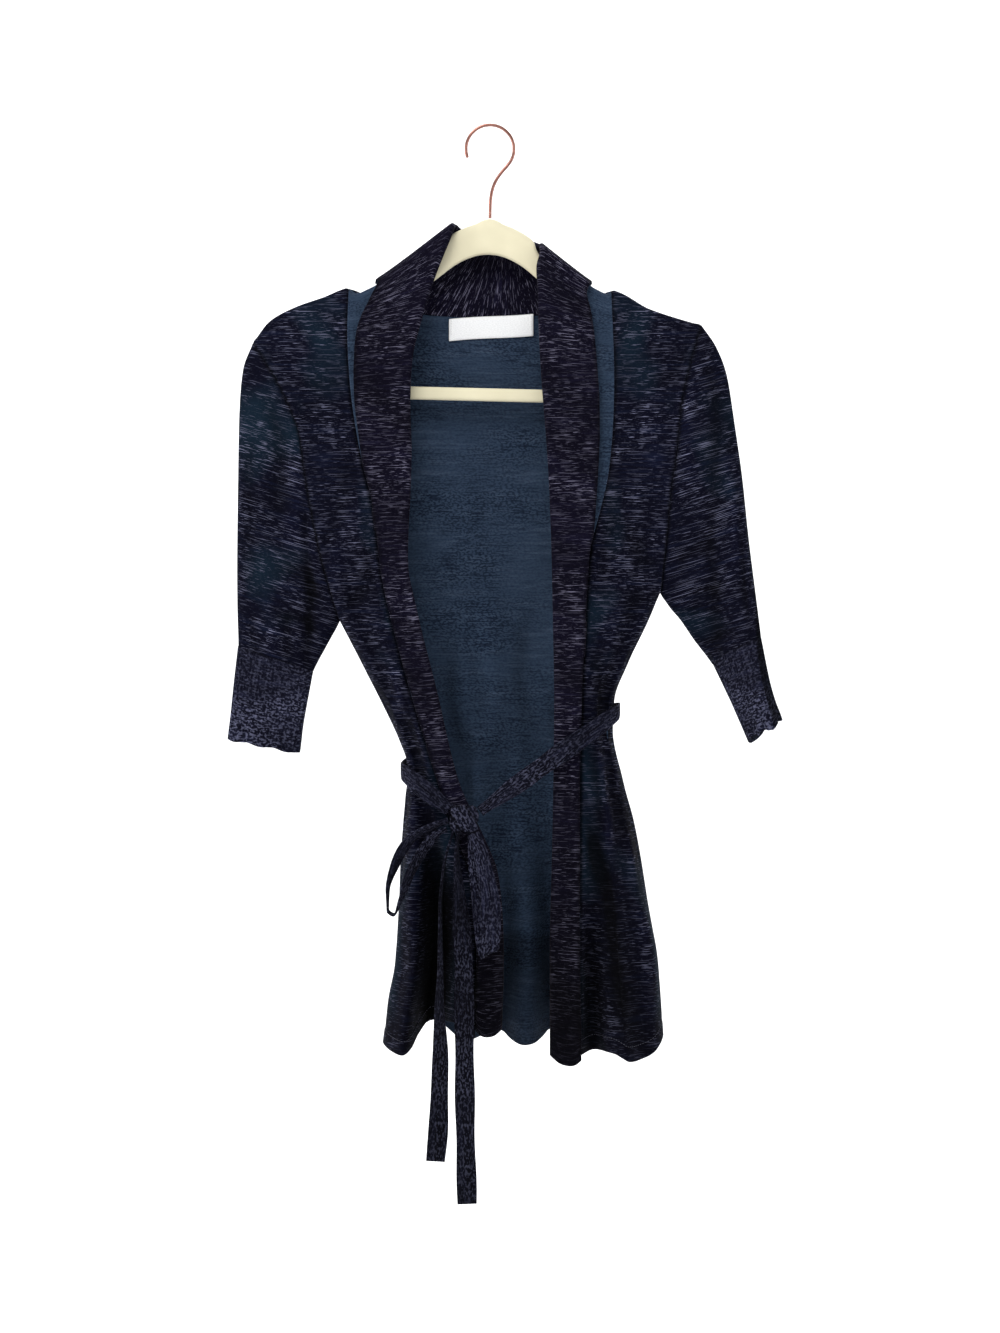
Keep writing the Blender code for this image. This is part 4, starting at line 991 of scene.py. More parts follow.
def collar_section(station, along, wave, rumple):
    """One section across the strip: up from the seam, over the roll, and down to the free edge."""
    seam, _, edge, roll, fall, sag, pressed, gap = station
    start = seam + edge * gap
    straight = unit(roll - start)
    out = unit(np.cross(along, straight))
    reach = unit(np.cross(out, along))
    radius = COLLAR_ROLL_RADIUS + (PRESSED_ROLL_RADIUS - COLLAR_ROLL_RADIUS) * pressed
    turn = roll + reach * (rumple - radius - CLOTH_THICKNESS)
    length = np.linalg.norm(turn - start)
    down = np.array([0.0, 0.0, -1.0])
    places = []
    for share in (0.0, 0.03, 0.07, NEAR_SEAM, 0.25, 0.38, 0.5, 0.62, 0.74, 0.86, 0.95):
        places.append(start + (turn - start) * share + down * sag * math.sin(math.pi * math.sqrt(share)))
    for a in np.linspace(0.0, math.pi, 11):
        places.append(turn + reach * radius * math.sin(a) + out * radius * (1 - math.cos(a)))
    for share in (0.06, 0.16, 0.3, 0.44, 0.58, 0.72, 0.84, 0.92, 0.97, 1.0):
        far = min(share * (fall - radius), length)
        lift = out * wave * share ** 2
        drop = sag * math.sin(math.pi * math.sqrt(1.0 - far / length))
        places.append(places[21] - straight * far + down * drop + lift)
    return places


def sew_collar():
    stations = closer_stations(collar_stations())
    rolls = np.array([s[3] for s in stations])
    along = unit(np.gradient(rolls, axis=0))
    reach = reach_along(rolls)
    wave = 0.9 + 0.8 * np.sin(reach / 31.0 + 1.7 * np.sin(reach / 83.0)) + 0.5 * np.sin(reach / 17.0 + 2.0)
    seams = np.array([s[0] for s in stations])
    left_corner = np.argmax(seams[:, 2] - 1000 * (seams[:, 0] < 0))
    right_corner = np.argmax(seams[:, 2] - 1000 * (seams[:, 0] > 0))
    for k in (left_corner, right_corner):
        wave *= 1.0 - np.exp(-((reach - reach[k]) / CORNER_REACH) ** 2)
    rumple = RUMPLE * np.sin(reach / 4.6 + 1.4 * np.sin(reach / 13.0)) * np.exp(
        -((reach - reach[left_corner]) / RUMPLED_REACH) ** 2)
    outer = np.array([collar_section(s, along[i], wave[i], rumple[i]) for i, s in enumerate(stations)])
    near_hem = ease((COLLAR_END - np.minimum(reach, reach[-1] - reach)) / COLLAR_END)[:, None]
    seam_x, roll_x = outer[:, :1, 0], rolls[:, :1]
    across_band = np.clip((outer[..., 0] - roll_x) / (seam_x - roll_x + 1e-6), 0, 1)
    outer[..., 2] += 8.0 * near_hem * np.abs(2 * across_band - 1) ** 2.6
    normals = grid_normals(outer)
    seam_normals = np.array([s[1] for s in stations])
    normals *= np.sign(np.sum(normals[:, 0] * seam_normals, axis=1).mean())
    normals[:, 0] = seam_normals
    across = surface_lengths(outer, 1)
    lengthways = np.repeat(surface_lengths(outer, 0).mean(axis=1)[:, None], outer.shape[1], axis=1)
    places = np.stack([across, lengthways], axis=2)
    around = across / MM
    # Painted shade on the plum face: soft waves of it for small folds, more of it at the free edge, and more
    # low down where less light reaches.
    waves = np.sin(reach[:, None] / 21.0 + 1.6 * np.sin(reach[:, None] / 57.0) + around / 26.0)
    uneven = 1.0 + 0.16 * waves + 0.10 * np.sin(reach[:, None] / 9.0 + around / 11.0)
    uneven *= 1 - 0.45 * np.exp(-((around[:, -1:] - around) / 2.2) ** 2)
    uneven *= skirt_shade(outer[..., 2]) ** 2
    piece = sew_cloth("shawl_collar", "collar", outer, normals, places,
                      (teal_wrong_side, plum_knit), shades=(np.ones_like(uneven), uneven), rim_side=1)
    return piece, outer


collar, collar_grid = sew_collar()


# The sleeves: elbow-length tubes set into the armholes, in the same navy knit. The wearer's left one is
# pressed flat with a crease down its front, and beyond the crease its back half shows, darkened with
# painted shade.

SLEEVE_HEAD = 0.3
LEFT_SLEEVE = Table("t outer_x outer_y outer_z inner_x inner_y inner_z front back lift", [
    (0.0, 190, 0, -179, 153, 0, -419.4, 16, 16, 0),
    (0.12, 203, 0, -198, 155.5, 0, -424, 16, 16, 0),
    (0.25, 213, 0, -224, 158.5, 1, -428, 15, 16, 0),
    (0.4, 219.5, -2, -264, 163, 3, -434, 14, 16, 0),
    (0.6, 226.5, -8, -322, 172, 7, -444, 12, 16, 2),
    (0.8, 230.5, -16, -385, 186, 13, -463, 10, 16, 5),
    (1.0, 236.5, -26, -462, 203.8, 20, -484, 9, 14, 7),
])
RIGHT_SLEEVE = Table("t outer_x outer_y outer_z inner_x inner_y inner_z front back lift", [
    (0.0, -213.3, 0, -195.3, -135, 0, -444.6, 16, 16, 0),
    (0.15, -222, 0, -219, -138, 0, -451, 15, 16, 0),
    (0.35, -225.5, 0, -258, -143, 0, -460, 14, 15, 0),
    (0.6, -226.8, 0, -330, -149, 0, -471, 13, 14, 0),
    (0.8, -227.5, 0, -400, -154, 0, -480, 12, 13, 0),
    (1.0, -226.8, 0, -467, -159, 0, -490, 10, 11, 0),
])
LEFT_SLEEVE_CREASES = Table("x1 z1 x2 z2 bow width depth", [
    (196, -210, 200, -345, 5, 9, -2.2),
    (199, -350, 206, -478, -3, 8, -2.2),
    (182, -230, 180, -330, -4, 9, 1.8),
    (170, -400, 196, -372, 5, 8, -1.8),
    (180, -440, 206, -410, 4, 8, -1.8),
    (210, -300, 222, -400, 3, 8, 1.6),
    (214, -250, 216, -300, 2, 7, -1.4),
    (194, -470, 220, -450, 3, 6, -1.4),
    (223, -325, 232, -455, -2, 5, -2.4),
])
RIGHT_SLEEVE_CREASES = Table("x1 z1 x2 z2 bow width depth", [
    (-150, -430, -190, -395, -7, 10, -2.2),
    (-154, -455, -196, -440, -5, 8, -2.0),
    (-158, -400, -185, -350, -6, 10, 1.6),
    (-196, -250, -190, -360, 5, 10, -1.8),
    (-214, -290, -214, -400, -3, 8, -1.6),
    (-176, -300, -178, -380, 4, 9, 1.5),
    (-200, -420, -196, -484, 3, 7, 1.5),
    (-180, -440, -178, -486, -3, 6, -1.6),
    (-213, -440, -216, -486, 2, 6, -1.5),
    (-166, -345, -163, -489, 3, 6, -3.0),
])


def sleeve_rings(table, side, stations, stops, from_armhole):
    """Rings down a sleeve or cuff: an outer and an inner end, bellied to the front and to the back."""
    xs, zs = armhole_line(side, stops)
    shares = reach_along(np.stack([xs, zs], axis=1))
    shares /= shares[-1]
    spare_x = xs - (xs[0] + (xs[-1] - xs[0]) * shares)
    spare_z = zs - (zs[0] + (zs[-1] - zs[0]) * shares)
    step_off = down_sleeve(side, stops) * SEAM_GAP / 2
    turned = 1.0 if side is LEFT else -1.0
    count = len(stops)
    rings = np.zeros((len(stations), 2 * count - 2, 3))
    for i, t in enumerate(stations):
        row = {name: table.read(name, "t", t) for name in table.columns}
        outer = np.array([row["outer_x"], row["outer_y"], row["outer_z"]])
        inner = np.array([row["inner_x"], row["inner_y"], row["inner_z"]])
        chord = outer - inner
        flat = unit(np.array([chord[0], chord[1], 0.0])) * turned
        to_front = np.array([flat[1], -flat[0], 0.0])
        like_armhole, rounder = 0.0, 1.0
        if from_armhole:
            like_armhole = (1 - t) ** 1.3
            swing = min(1.0, t / SLEEVE_HEAD)
            rounder = ease((t - 0.2) / 0.14)
            to_front = unit(np.array([0.0, swing - 1.0, 0.0]) + to_front * swing)
        base = inner + chord * shares[:, None] + (step_off if from_armhole and i == 0 else 0.0)
        base = base + np.stack([spare_x, np.zeros(count), spare_z], axis=1) * like_armhole
        front = row["front"] + (HALF_DEPTH.read("front", "z", zs) - row["front"]) * like_armhole
        rear = row["back"] + (HALF_DEPTH.read("back", "z", zs) - row["back"]) * like_armhole
        share = armhole_share(stops)
        share = share + (np.sqrt(np.maximum(0.0, 1 - (2 * stops - 1) ** 2)) - share) / 2 * rounder
        rings[i, :count] = base + to_front * (front * share)[:, None]
        behind = base - to_front * (rear * share)[:, None]
        behind[:, 2] += row["lift"] * share
        rings[i, count:] = behind[-2:0:-1]
    return rings


def ring_normals(rings):
    normals = grid_normals(rings, ring=True)
    return normals * np.sign(np.sum(normals * (rings - rings.mean(axis=1, keepdims=True)), axis=2).mean())


STREAK_SLOPE = math.radians(17)


def sleeve_places(rings, outward):
    """On the sleeves the courses slope down towards the armhole: a point's place round and down the tube."""
    course = np.array([outward * math.cos(STREAK_SLOPE), 0.0, math.sin(STREAK_SLOPE)])
    wale = np.array([-outward * math.sin(STREAK_SLOPE), 0.0, math.cos(STREAK_SLOPE)])
    closed = np.concatenate((rings, rings[:, :1]), axis=1)
    steps = np.diff(closed, axis=1)
    round_it = np.cumsum(np.hypot(steps @ course, steps[..., 1]), axis=1)
    round_it = np.concatenate((np.zeros((len(rings), 1)), round_it), axis=1) - (closed[:, :1] @ course)
    return np.stack([round_it, closed @ wale], axis=2) * MM


def ring_places(rings):
    """Round the tube and down it, in metres, with the first column repeated at the end of each ring."""
    closed = np.concatenate((rings, rings[:, :1]), axis=1)
    around = surface_lengths(closed, 1)
    middles = rings.mean(axis=1)
    down = reach_along(middles) * MM
    return np.stack([around, np.repeat(down[:, None], closed.shape[1], axis=1)], axis=2)


# The pressed crease down the wearer's left sleeve and cuff: beyond it the back layer shows, darkened with
# painted shade.
PRESSED_CREASE = Table("z x", [
    (-560, 254), (-541, 252), (-530, 249.3), (-507, 243), (-465, 236.7), (-433, 236.2), (-373, 231.3),
    (-322, 227.7), (-240, 222)])


def painted_shade_beyond_crease(points):
    """Painted shade beyond the pressed crease of the left sleeve, and none on the other one."""
    past = points[..., 0] - PRESSED_CREASE.read("x", "z", points[..., 2])
    return 1 - 0.72 * ease((past + 0.8) / 2.4)


def sew_sleeve(name, table, side, creases):
    stops = armhole_stops(56)
    count = len(stops)
    stations = np.linspace(0.0, 1.0, 76)
    flat = sleeve_rings(table, side, stations, stops, True)
    normals = ring_normals(flat)
    on_front = np.zeros(flat.shape[1])
    on_front[:count] = ease(np.sin(np.pi * np.linspace(0, 1, count)) * 2.5)
    on_back = np.zeros(flat.shape[1])
    on_back[count:] = ease(np.sin(np.pi * np.linspace(0, 1, flat.shape[1] - count)) * 2.5)
    fade = ease(stations / 0.1) * (1 - 0.6 * ease((stations - 0.93) / 0.07))
    outward = np.sign(flat[0, 0, 0])
    shifted = flat + np.array([7.0 * outward, 0, 16.0])
    lift = crease_heights(flat, creases) * on_front + crease_heights(shifted, creases) * on_back
    gathers = 0.5 * np.sin(np.arange(flat.shape[1]) * 0.55) * ease((stations - 0.9) / 0.1)[:, None]
    rings = flat + normals * (lift * fade[:, None] + gathers)[..., None]
    normals = ring_normals(rings)
    front = armhole_normals(side, stops)
    behind = front[-2:0:-1] * np.array([1, -1, 1])
    normals[0] = np.concatenate((front, behind))
    outside, inside = fold_shades(0.0, lift)
    outside *= seam_shades(flat, (flat[:1],)) * painted_shade_beyond_crease(rings)
    piece = sew_cloth(name, name.replace("tube_", ""), rings, normals, sleeve_places(flat, outward),
                      (navy_knit, teal_wrong_side), ring=True, shades=(outside, inside))
    return piece, rings


for name, table, side, creases, cut in (
        ("tube_sleeve_left", LEFT_SLEEVE, LEFT, LEFT_SLEEVE_CREASES, (0.30, 0.29)),
        ("tube_sleeve_right", RIGHT_SLEEVE, RIGHT, RIGHT_SLEEVE_CREASES, (0.31, 0.28))):
    sleeve, rings = sew_sleeve(name, table, side, creases)


# The cuffs: deep bands of rib in a speckled grey-violet yarn, knitted in fine ridges that run down the
# arm, with an edge that waves a little.

RIB_PITCH = 3.1
RIB_HEIGHT = 0.38
RIB_POINTS = 5
LEFT_CUFF = Table("t outer_x outer_y outer_z inner_x inner_y inner_z front back lift", [
    (0.0, 236.5, -26, -462, 203.8, 20, -484, 9, 14, 7),
    (0.5, 243, -28, -503, 221, 22, -519, 8, 13, 9),
    (1.0, 252, -29, -541, 238, 23, -556, 8, 12, 12),
])
RIGHT_CUFF = Table("t outer_x outer_y outer_z inner_x inner_y inner_z front back lift", [
    (0.0, -226.8, 0, -467, -159, 0, -490, 10, 11, 0),
    (0.5, -231.3, -2, -508, -165, -2, -523, 10, 10, 0),
    (1.0, -235, -4, -551, -172, -4, -563.5, 10, 10, 0),
])

speckled_rib = knit_material(
    "speckled_rib", (0.0030, 0.0032, 0.0085), (0.0105, 0.0115, 0.0260), (0.125, 0.130, 0.205),
    [(0.0028, 0.0019, 0.53, 0.63, 0.46, 6.1), (0.0060, 0.0017, 0.60, 0.67, 0.50, 12.7)])
rib_inside = knit_material(
    "rib_inside", (0.007, 0.008, 0.014), (0.016, 0.020, 0.032), (0.06, 0.066, 0.10),
    [(0.0032, 0.0012, 0.54, 0.62, 0.5, 2.9)])


def even_rings(rings, count):
    """The same rings with their points spread evenly round them."""
    closed = np.concatenate((rings, rings[:, :1]), axis=1)
    even = np.zeros((len(rings), count, 3))
    for i, ring in enumerate(closed):
        reach = reach_along(ring)
        at = np.arange(count) / count * reach[-1]
        even[i] = np.stack([np.interp(at, reach, ring[:, k]) for k in range(3)], axis=1)
    return even


def sew_cuff(name, table, side):
    stations = np.linspace(0.0, 1.0, 26)
    rings = sleeve_rings(table, side, stations, armhole_stops(56), False)
    rings[0] = rings[0] + unit(rings[1] - rings[0]) * 2 * SEAM_GAP
    perimeter = surface_lengths(np.concatenate((rings, rings[:, :1]), axis=1), 1)[0, -1] / MM
    ribs = round(perimeter / RIB_PITCH)
    flat = even_rings(rings, ribs * RIB_POINTS)
    normals = ring_normals(flat)
    turn = np.arange(ribs * RIB_POINTS) * 2 * math.pi / RIB_POINTS
    height = RIB_HEIGHT * (np.cos(turn) - 1.0) * (1 - 0.5 * np.exp(-((1 - stations) / 0.03) ** 2))[:, None]
    angle = np.linspace(0, 2 * math.pi, ribs * RIB_POINTS, endpoint=False)
    near_edge = ease((stations - 0.55) / 0.45)[:, None] ** 2
    flare = (1.2 * np.sin(angle * 7 + 0.6) + 0.9 * np.sin(angle * 12 + 2.0)) * near_edge
    rings = flat + normals * (height + flare)[..., None]
    rings[..., 2] += (0.9 * np.sin(angle * 6 + 1.0)) * (ease((stations - 0.7) / 0.3) ** 2)[:, None]
    normals = ring_normals(rings)
    # Painted shade beyond the pressed crease, and a band of painted shade where the cuff meets the sleeve.
    shade = painted_shade_beyond_crease(rings) * (1 - 0.35 * np.exp(-(stations[:, None] / 0.03) ** 2))
    piece = sew_cloth(name, name.replace("band_", ""), rings, normals, ring_places(flat),
                      (speckled_rib, rib_inside), ring=True, shades=(shade, np.ones_like(shade)))
    return piece, flat


for name, table, side, cut in (("band_cuff_left", LEFT_CUFF, LEFT, (0.145, 0.075)),
                               ("band_cuff_right", RIGHT_CUFF, RIGHT, (0.160, 0.078))):
    cuff, rings = sew_cuff(name, table, side)


# The sash: a narrow flat band of the same speckled rib. It goes round the waist and is tied in a soft
# bow at the wearer's right front: a knot, two loops and two free ends of uneven length.

SASH_WIDTH = 17.0
SASH_THICKNESS = 2.0
SASH_RIB_PITCH = 2.6
SASH_RIB_HEIGHT = 0.22
PINCH_REACH = 0.3
KNOT_PAINTED_SHADE = 0.66

WAIST_BACK = Table("x y z", [
    (116.4, 0.3, -524), (114.5, 15, -525), (106, 28, -528), (88, 35, -532), (60, 37, -539), (0, 37.5, -552),
    (-40, 37, -563), (-58, 34, -569), (-72, 24, -574), (-78.5, 12, -577), (-79.6, 0.3, -578)])
WAIST_LEFT = Table("x y z", [
    (116.4, -0.3, -524), (114.8, -15, -526.5), (106, -29.5, -532), (92, -38, -542), (70, -41.5, -557),
    (27, -43, -588), (-8.65, -45, -613.45)])
WAIST_RIGHT = Table("x y z", [
    (-79.6, -0.3, -578), (-78.6, -13, -579.5), (-72, -27, -584), (-59, -38.5, -594), (-35.2, -45, -612.3)])
LOOP_RIGHT = Table("x y z turn", [
    (-36.4, -51, -621, 35), (-50, -52, -626, 35), (-70, -52, -638, 45), (-83, -52, -660, 65),
    (-89.5, -51, -684, 85), (-89.5, -50, -700, 90), (-84.5, -50, -704, 90), (-78.5, -50, -692, 80),
    (-70, -50, -668, 60), (-59, -49, -648, 45), (-48, -47.5, -634, 40), (-38, -46.5, -629, 45)])
LOOP_LEFT = Table("x y z turn", [
    (-14, -51.5, -632.5, 0), (-9, -54, -645, 0), (-3, -57.5, -668, 0), (1, -59, -700, 0), (1, -59.5, -722, 0),
    (0, -57.5, -734, 0), (-1, -54, -737.5, 0), (-3, -50.5, -733, 0), (-5, -48.5, -715, 0), (-9, -46, -685, 0),
    (-13.5, -44, -650, 0), (-15, -43.6, -632.5, 0)])
TAIL_RIGHT = Table("x y z turn", [
    (-32.4, -47.5, -631.2, 88), (-40, -52, -660, 86), (-43.2, -55, -697, 84), (-43.2, -56, -751, 78),
    (-44.1, -56, -787, 62), (-43.2, -56, -823, 42), (-44, -56, -859, 22), (-45, -56, -890, 12),
    (-47.5, -56, -919, 8)])
TAIL_LEFT = Table("x y z turn", [
    (-27.6, -47.5, -632.5, 84), (-29, -50, -650, 74), (-27, -52.5, -680, 50), (-25, -53, -710, 30),
    (-23, -53, -745, 12), (-22.5, -53, -787, 0), (-21.6, -53, -877, 0), (-19.8, -53, -957, 4)])


def sash_section():
    """The band's section: flat and ribbed on both faces, thin and round at its edges."""
    places = []
    for face in (1, -1):
        for k in range(29):
            s = face * (2 * k / 28 - 1)
            rib = SASH_RIB_HEIGHT * (math.cos(2 * math.pi * s * SASH_WIDTH / 2 / SASH_RIB_PITCH) - 1)
            edge = math.sqrt(max(0.0, 1 - abs(s) ** 14))
            places.append((s * SASH_WIDTH / 2, face * (0.12 + (SASH_THICKNESS / 2 - 0.12 + rib) * edge)))
    return np.array(places)


def turn_faces(faces, corners):
    """The corners' places in the knitting, in the order of faces that were turned round."""
    turned, start = [], 0
    for face in faces:
        turned += corners[start:start + len(face)][::-1]
        start += len(face)
    return turned


def lay_sash(name, table, count, node, upright=False, seam_ends=(), pinched=(), lean=0.0, painted_light_level=1.0):
    """The band along a path; it is gathered narrower at its pinched ends, and lean slants its folds."""
    path = table.along("x y z" if upright else "x y z turn", count)
    along = unit(np.gradient(path[:, :3], axis=0))
    for end in seam_ends:
        along[end] = (0.0, np.sign(along[end, 1]), 0.0)
    section = sash_section()
    reach = reach_along(path[:, :3]) * MM
    rings = np.zeros((count, len(section), 3))
    for i in range(count):
        if upright:
            side = np.array([0.0, 0.0, 1.0])
        else:
            turn = math.radians(path[i, 3])
            side = np.array([math.cos(turn), math.sin(turn), lean])
        side = unit(side - along[i] * np.dot(side, along[i]))
        thin = np.cross(along[i], side)
        slack = 1.0 - 0.05 * math.sin(i * 0.21 + count)
        for end, share in pinched:
            slack *= 1.0 - share * float(ease(1.0 - abs(i / (count - 1) - end) / PINCH_REACH))
        rings[i] = path[i, :3] + side * section[:, :1] * slack + thin * section[:, 1:]
    columns = len(section)
    faces, wools = [], []
    lie = section[:, 0] * MM
    for i in range(count - 1):
        for k in range(columns):
            n = (k + 1) % columns
            faces.append([i * columns + k, i * columns + n, (i + 1) * columns + n, (i + 1) * columns + k])
            wools += [(reach[i], lie[k]), (reach[i], lie[n]), (reach[i + 1], lie[n]), (reach[i + 1], lie[k])]
    for i, order in ((0, range(columns - 1, -1, -1)), (count - 1, range(columns))):
        faces.append([i * columns + k for k in order])
        wools += [(reach[i], lie[k]) for k in order]
    first = rings[0] - rings[0].mean(axis=0)
    if np.sum(np.cross(first[:-1], first[1:]) @ along[0]) < 0:
        faces = [face[::-1] for face in faces]
        wools = turn_faces(faces, wools)
    # Painted shade along the band, lighter and darker by turns, with the whole piece darkened to its given
    # level.
    shade_along_band = 1.0 + 0.14 * np.sin(reach * 62.0 + 1.5 * np.sin(reach * 23.0 + count))
    mesh = knit_mesh(name, rings.reshape(-1, 3), faces, wools, np.repeat(painted_light_level * shade_along_band, columns))
    mesh.materials.append(speckled_rib)
    band = add_piece(mesh, node)


BOTH_GATHERED = ((0, 0.42), (1, 0.42))
SIDE_PINCHES = ((0, 0.3), (1, 0.3))
# Each piece of the band gets its own level of painted shade: the hanging ends are the darkest.
lay_sash("sash_round_back", WAIST_BACK, 110, "belt_back", True, (0, -1), ((0, 0.34), (1, 0.3)))
lay_sash("sash_left_to_knot", WAIST_LEFT, 90, "belt_front_left", True, (0,), ((0, 0.34), (1, 0.42)), painted_light_level=0.7)
lay_sash("sash_right_to_knot", WAIST_RIGHT, 44, "belt_front_right", True, (0,), SIDE_PINCHES, painted_light_level=0.7)
lay_sash("bow_loop_on_right", LOOP_RIGHT, 110, "bow_loop_right", pinched=BOTH_GATHERED, painted_light_level=0.6)
lay_sash("bow_loop_on_left", LOOP_LEFT, 110, "bow_loop_left", pinched=BOTH_GATHERED, lean=0.55, painted_light_level=0.8)
lay_sash("free_end_right", TAIL_RIGHT, 120, "belt_tail_right", pinched=BOTH_GATHERED[:1], painted_light_level=0.4)
lay_sash("free_end_left", TAIL_LEFT, 130, "belt_tail_left", pinched=BOTH_GATHERED[:1], painted_light_level=0.42)


def wrap_knot():
    """The knot: the band drawn round itself, so its ribs run over it and it bulges between two dents."""
    centre, half = np.array([-22.5, -46.5, -620.0]), np.array([13.0, 8.0, 12.0])
    polar = np.linspace(0.02, math.pi - 0.02, 60)[:, None]
    angle = np.linspace(0, 2 * math.pi, 96, endpoint=False)[None, :]
    way = np.stack([np.sin(polar) * np.cos(angle), np.sin(polar) * np.sin(angle),
                    np.cos(polar) * np.ones_like(angle)], axis=2)
    blunt = np.sum(np.abs(way) ** 4, axis=2, keepdims=True) ** -0.25
    shape = way * blunt
    lean = shape[..., 0] * 0.8 + shape[..., 2] * 0.5
    ribs = -0.018 * (1 + np.cos(lean * 30.0))
    dents = -0.10 * np.exp(-((lean - 0.62) / 0.10) ** 2) - 0.10 * np.exp(-((lean + 0.60) / 0.12) ** 2)
    places = centre + shape * half * (1 + ribs + dents)[..., None]
    rows, columns = places.shape[:2]
    ends = centre + half * np.array([[0, 0, 1.0], [0, 0, -1.0]])
    corners = np.concatenate((places.reshape(-1, 3), ends))
    faces = [(i * columns + k, (i + 1) * columns + k, (i + 1) * columns + (k + 1) % columns,
              i * columns + (k + 1) % columns) for i in range(rows - 1) for k in range(columns)]
    faces += [(rows * columns, k, (k + 1) % columns) for k in range(columns)]
    low = (rows - 1) * columns
    faces += [(low + k, rows * columns + 1, low + (k + 1) % columns) for k in range(columns)]
    slanted = corners[:, (0, 2)] @ np.array([[0.6, 0.8], [-0.9, 0.5]]) * MM
    courses = [slanted[k] for face in faces for k in face]
    # Painted shade in the knot's dents, and painted shade over the whole knot.
    shades = KNOT_PAINTED_SHADE * np.concatenate((1 + 5 * dents.ravel(), (1, 1)))
    mesh = knit_mesh("sash_knot", corners, faces, courses, shades)
    mesh.materials.append(speckled_rib)
    add_piece(mesh, "belt_knot")


wrap_knot()


# The label: a blank white woven tape, sewn to the wrong side of the back just under the neckline and
# tacked at its corners.

LABEL = {"left": -37.0, "right": 39.0, "top_left": -172.0, "top_right": -166.8, "height": 19.5, "lift": 0.9}
NEARBY = 2.0
BEHIND_LABEL = (slice(-34, None), slice(20, 92))
TACKS_LIFT = np.array([0, -0.25, 0])


def woven_tape():
    tape, tree, shader = new_finish("white_woven_tape", 0.6)
    courses = add_node(tree, "ShaderNodeUVMap", uv_map="courses").outputs[0]
    threads = slub_marks(tree, courses, 0.0016, 0.0005, 0.3, 0.7, 2.0)
    colour = blend_colour(tree, threads, (0.78, 0.78, 0.77, 1), (0.90, 0.90, 0.89, 1))
    bump = add_node(tree, "ShaderNodeBump", {"Height": threads, "Distance": 0.0002, "Strength": 0.4})
    tree.links.new(bump.outputs[0], shader.inputs["Normal"])
    tree.links.new(colour, shader.inputs["Base Color"])
    shader.inputs["Sheen Weight"].default_value = 0.2
    return tape


white_tape = woven_tape()


def sew_label():
    inner = back_grid - back_normals * CLOTH_THICKNESS
    face = inner[BEHIND_LABEL].reshape(-1, 3)
    rows, columns = 11, 40
    outer = np.zeros((rows, columns, 3))
    for row in range(rows):
        for j in range(columns):
            share = j / (columns - 1)
            x = LABEL["left"] + (LABEL["right"] - LABEL["left"]) * share
            top = LABEL["top_left"] + (LABEL["top_right"] - LABEL["top_left"]) * share
            z = top - LABEL["height"] * row / (rows - 1) + 0.5 * math.sin(share * 5.0 + 0.4)
            weight = 1.0 / (np.hypot(face[:, 0] - x, face[:, 2] - z) + NEARBY) ** 4
            puff = 0.5 * math.sin(math.pi * row / (rows - 1)) * (0.6 + 0.4 * math.sin(share * 9))
            outer[row, j] = (x, np.sum(face[:, 1] * weight) / np.sum(weight) - LABEL["lift"] - 0.5 - puff, z)
    normals = np.zeros_like(outer)
    normals[..., 1] = -1.0
    places = np.stack([outer[..., 0] * MM, outer[..., 2] * MM], axis=2)
    piece = sew_cloth("neck_tape", "neck_label", outer, normals, places, (white_tape, white_tape),
                      thickness=0.5)
    return piece, outer


white_thread = thread_material("white_thread", (0.75, 0.75, 0.73))
label, label_grid = sew_label()
tacked_lines = (label_grid[1:9:2, 1], label_grid[1:9:2, -2], label_grid[0, 1:-1:3])
label_tacks = sew_stitches("label_tacks", [line + TACKS_LIFT for line in tacked_lines],
                           2.1, 1.5, 0.2, white_thread)


# The hanger: a slim moulded frame of two arms and a crossbar in one, cream and softly matt, with rounded
# edges. It leans a little to one side, as it does in the photograph.

HANGER_THICKNESS = 5.0
HANGER_TILT = math.radians(1.4)
HANGER_HALF = Table("outer_x outer_z inner_x inner_z", [
    (0, -83, 0, -115.2),
    (5.4, -84.3, 4.5, -115.5),
    (12.6, -88, 11, -116.6),
    (20, -90.7, 18, -119),
    (27, -94, 25, -122.3),
    (34, -98, 31, -126),
    (40, -103, 37, -130.5),
    (42.5, -110, 40, -133),
    (48, -118.5, 45, -137),
    (60, -127.5, 54, -144),
    (72, -133.5, 66, -152),
    (86, -149, 80, -164),
    (108, -153.5, 102, -172),
    (144, -166, 138, -185),
    (176, -176.5, 168, -196),
    (190, -182.5, 180, -204),
    (198, -192, 185, -211),
    (203, -204, 188, -218),
    (205, -220, 189, -226),
    (203, -235, 188, -231),
    (196, -244, 184, -234.5),
    (184, -247.2, 178, -235.7),
    (90, -247.2, 90, -235.7),
    (0, -247.2, 0, -235.7),
])


def cream_material():
    cream, tree, shader = new_finish("cream_flock", 0.8)
    place = add_node(tree, "ShaderNodeTexCoord").outputs["Object"]
    cloud = add_node(tree, "ShaderNodeTexNoise", {"Vector": place, "Scale": 40.0, "Detail": 4.0})
    fibre = add_node(tree, "ShaderNodeTexNoise", {"Vector": place, "Scale": 1500.0, "Detail": 2.0})
    colour = blend_colour(tree, cloud.outputs[0], (0.62, 0.565, 0.385, 1), (0.72, 0.665, 0.47, 1))
    bump = add_node(tree, "ShaderNodeBump", {
        "Height": fibre.outputs[0], "Distance": 0.0002, "Strength": 0.35})
    tree.links.new(bump.outputs[0], shader.inputs["Normal"])
    tree.links.new(colour, shader.inputs["Base Color"])
    shader.inputs["Sheen Weight"].default_value = 0.35
    return cream


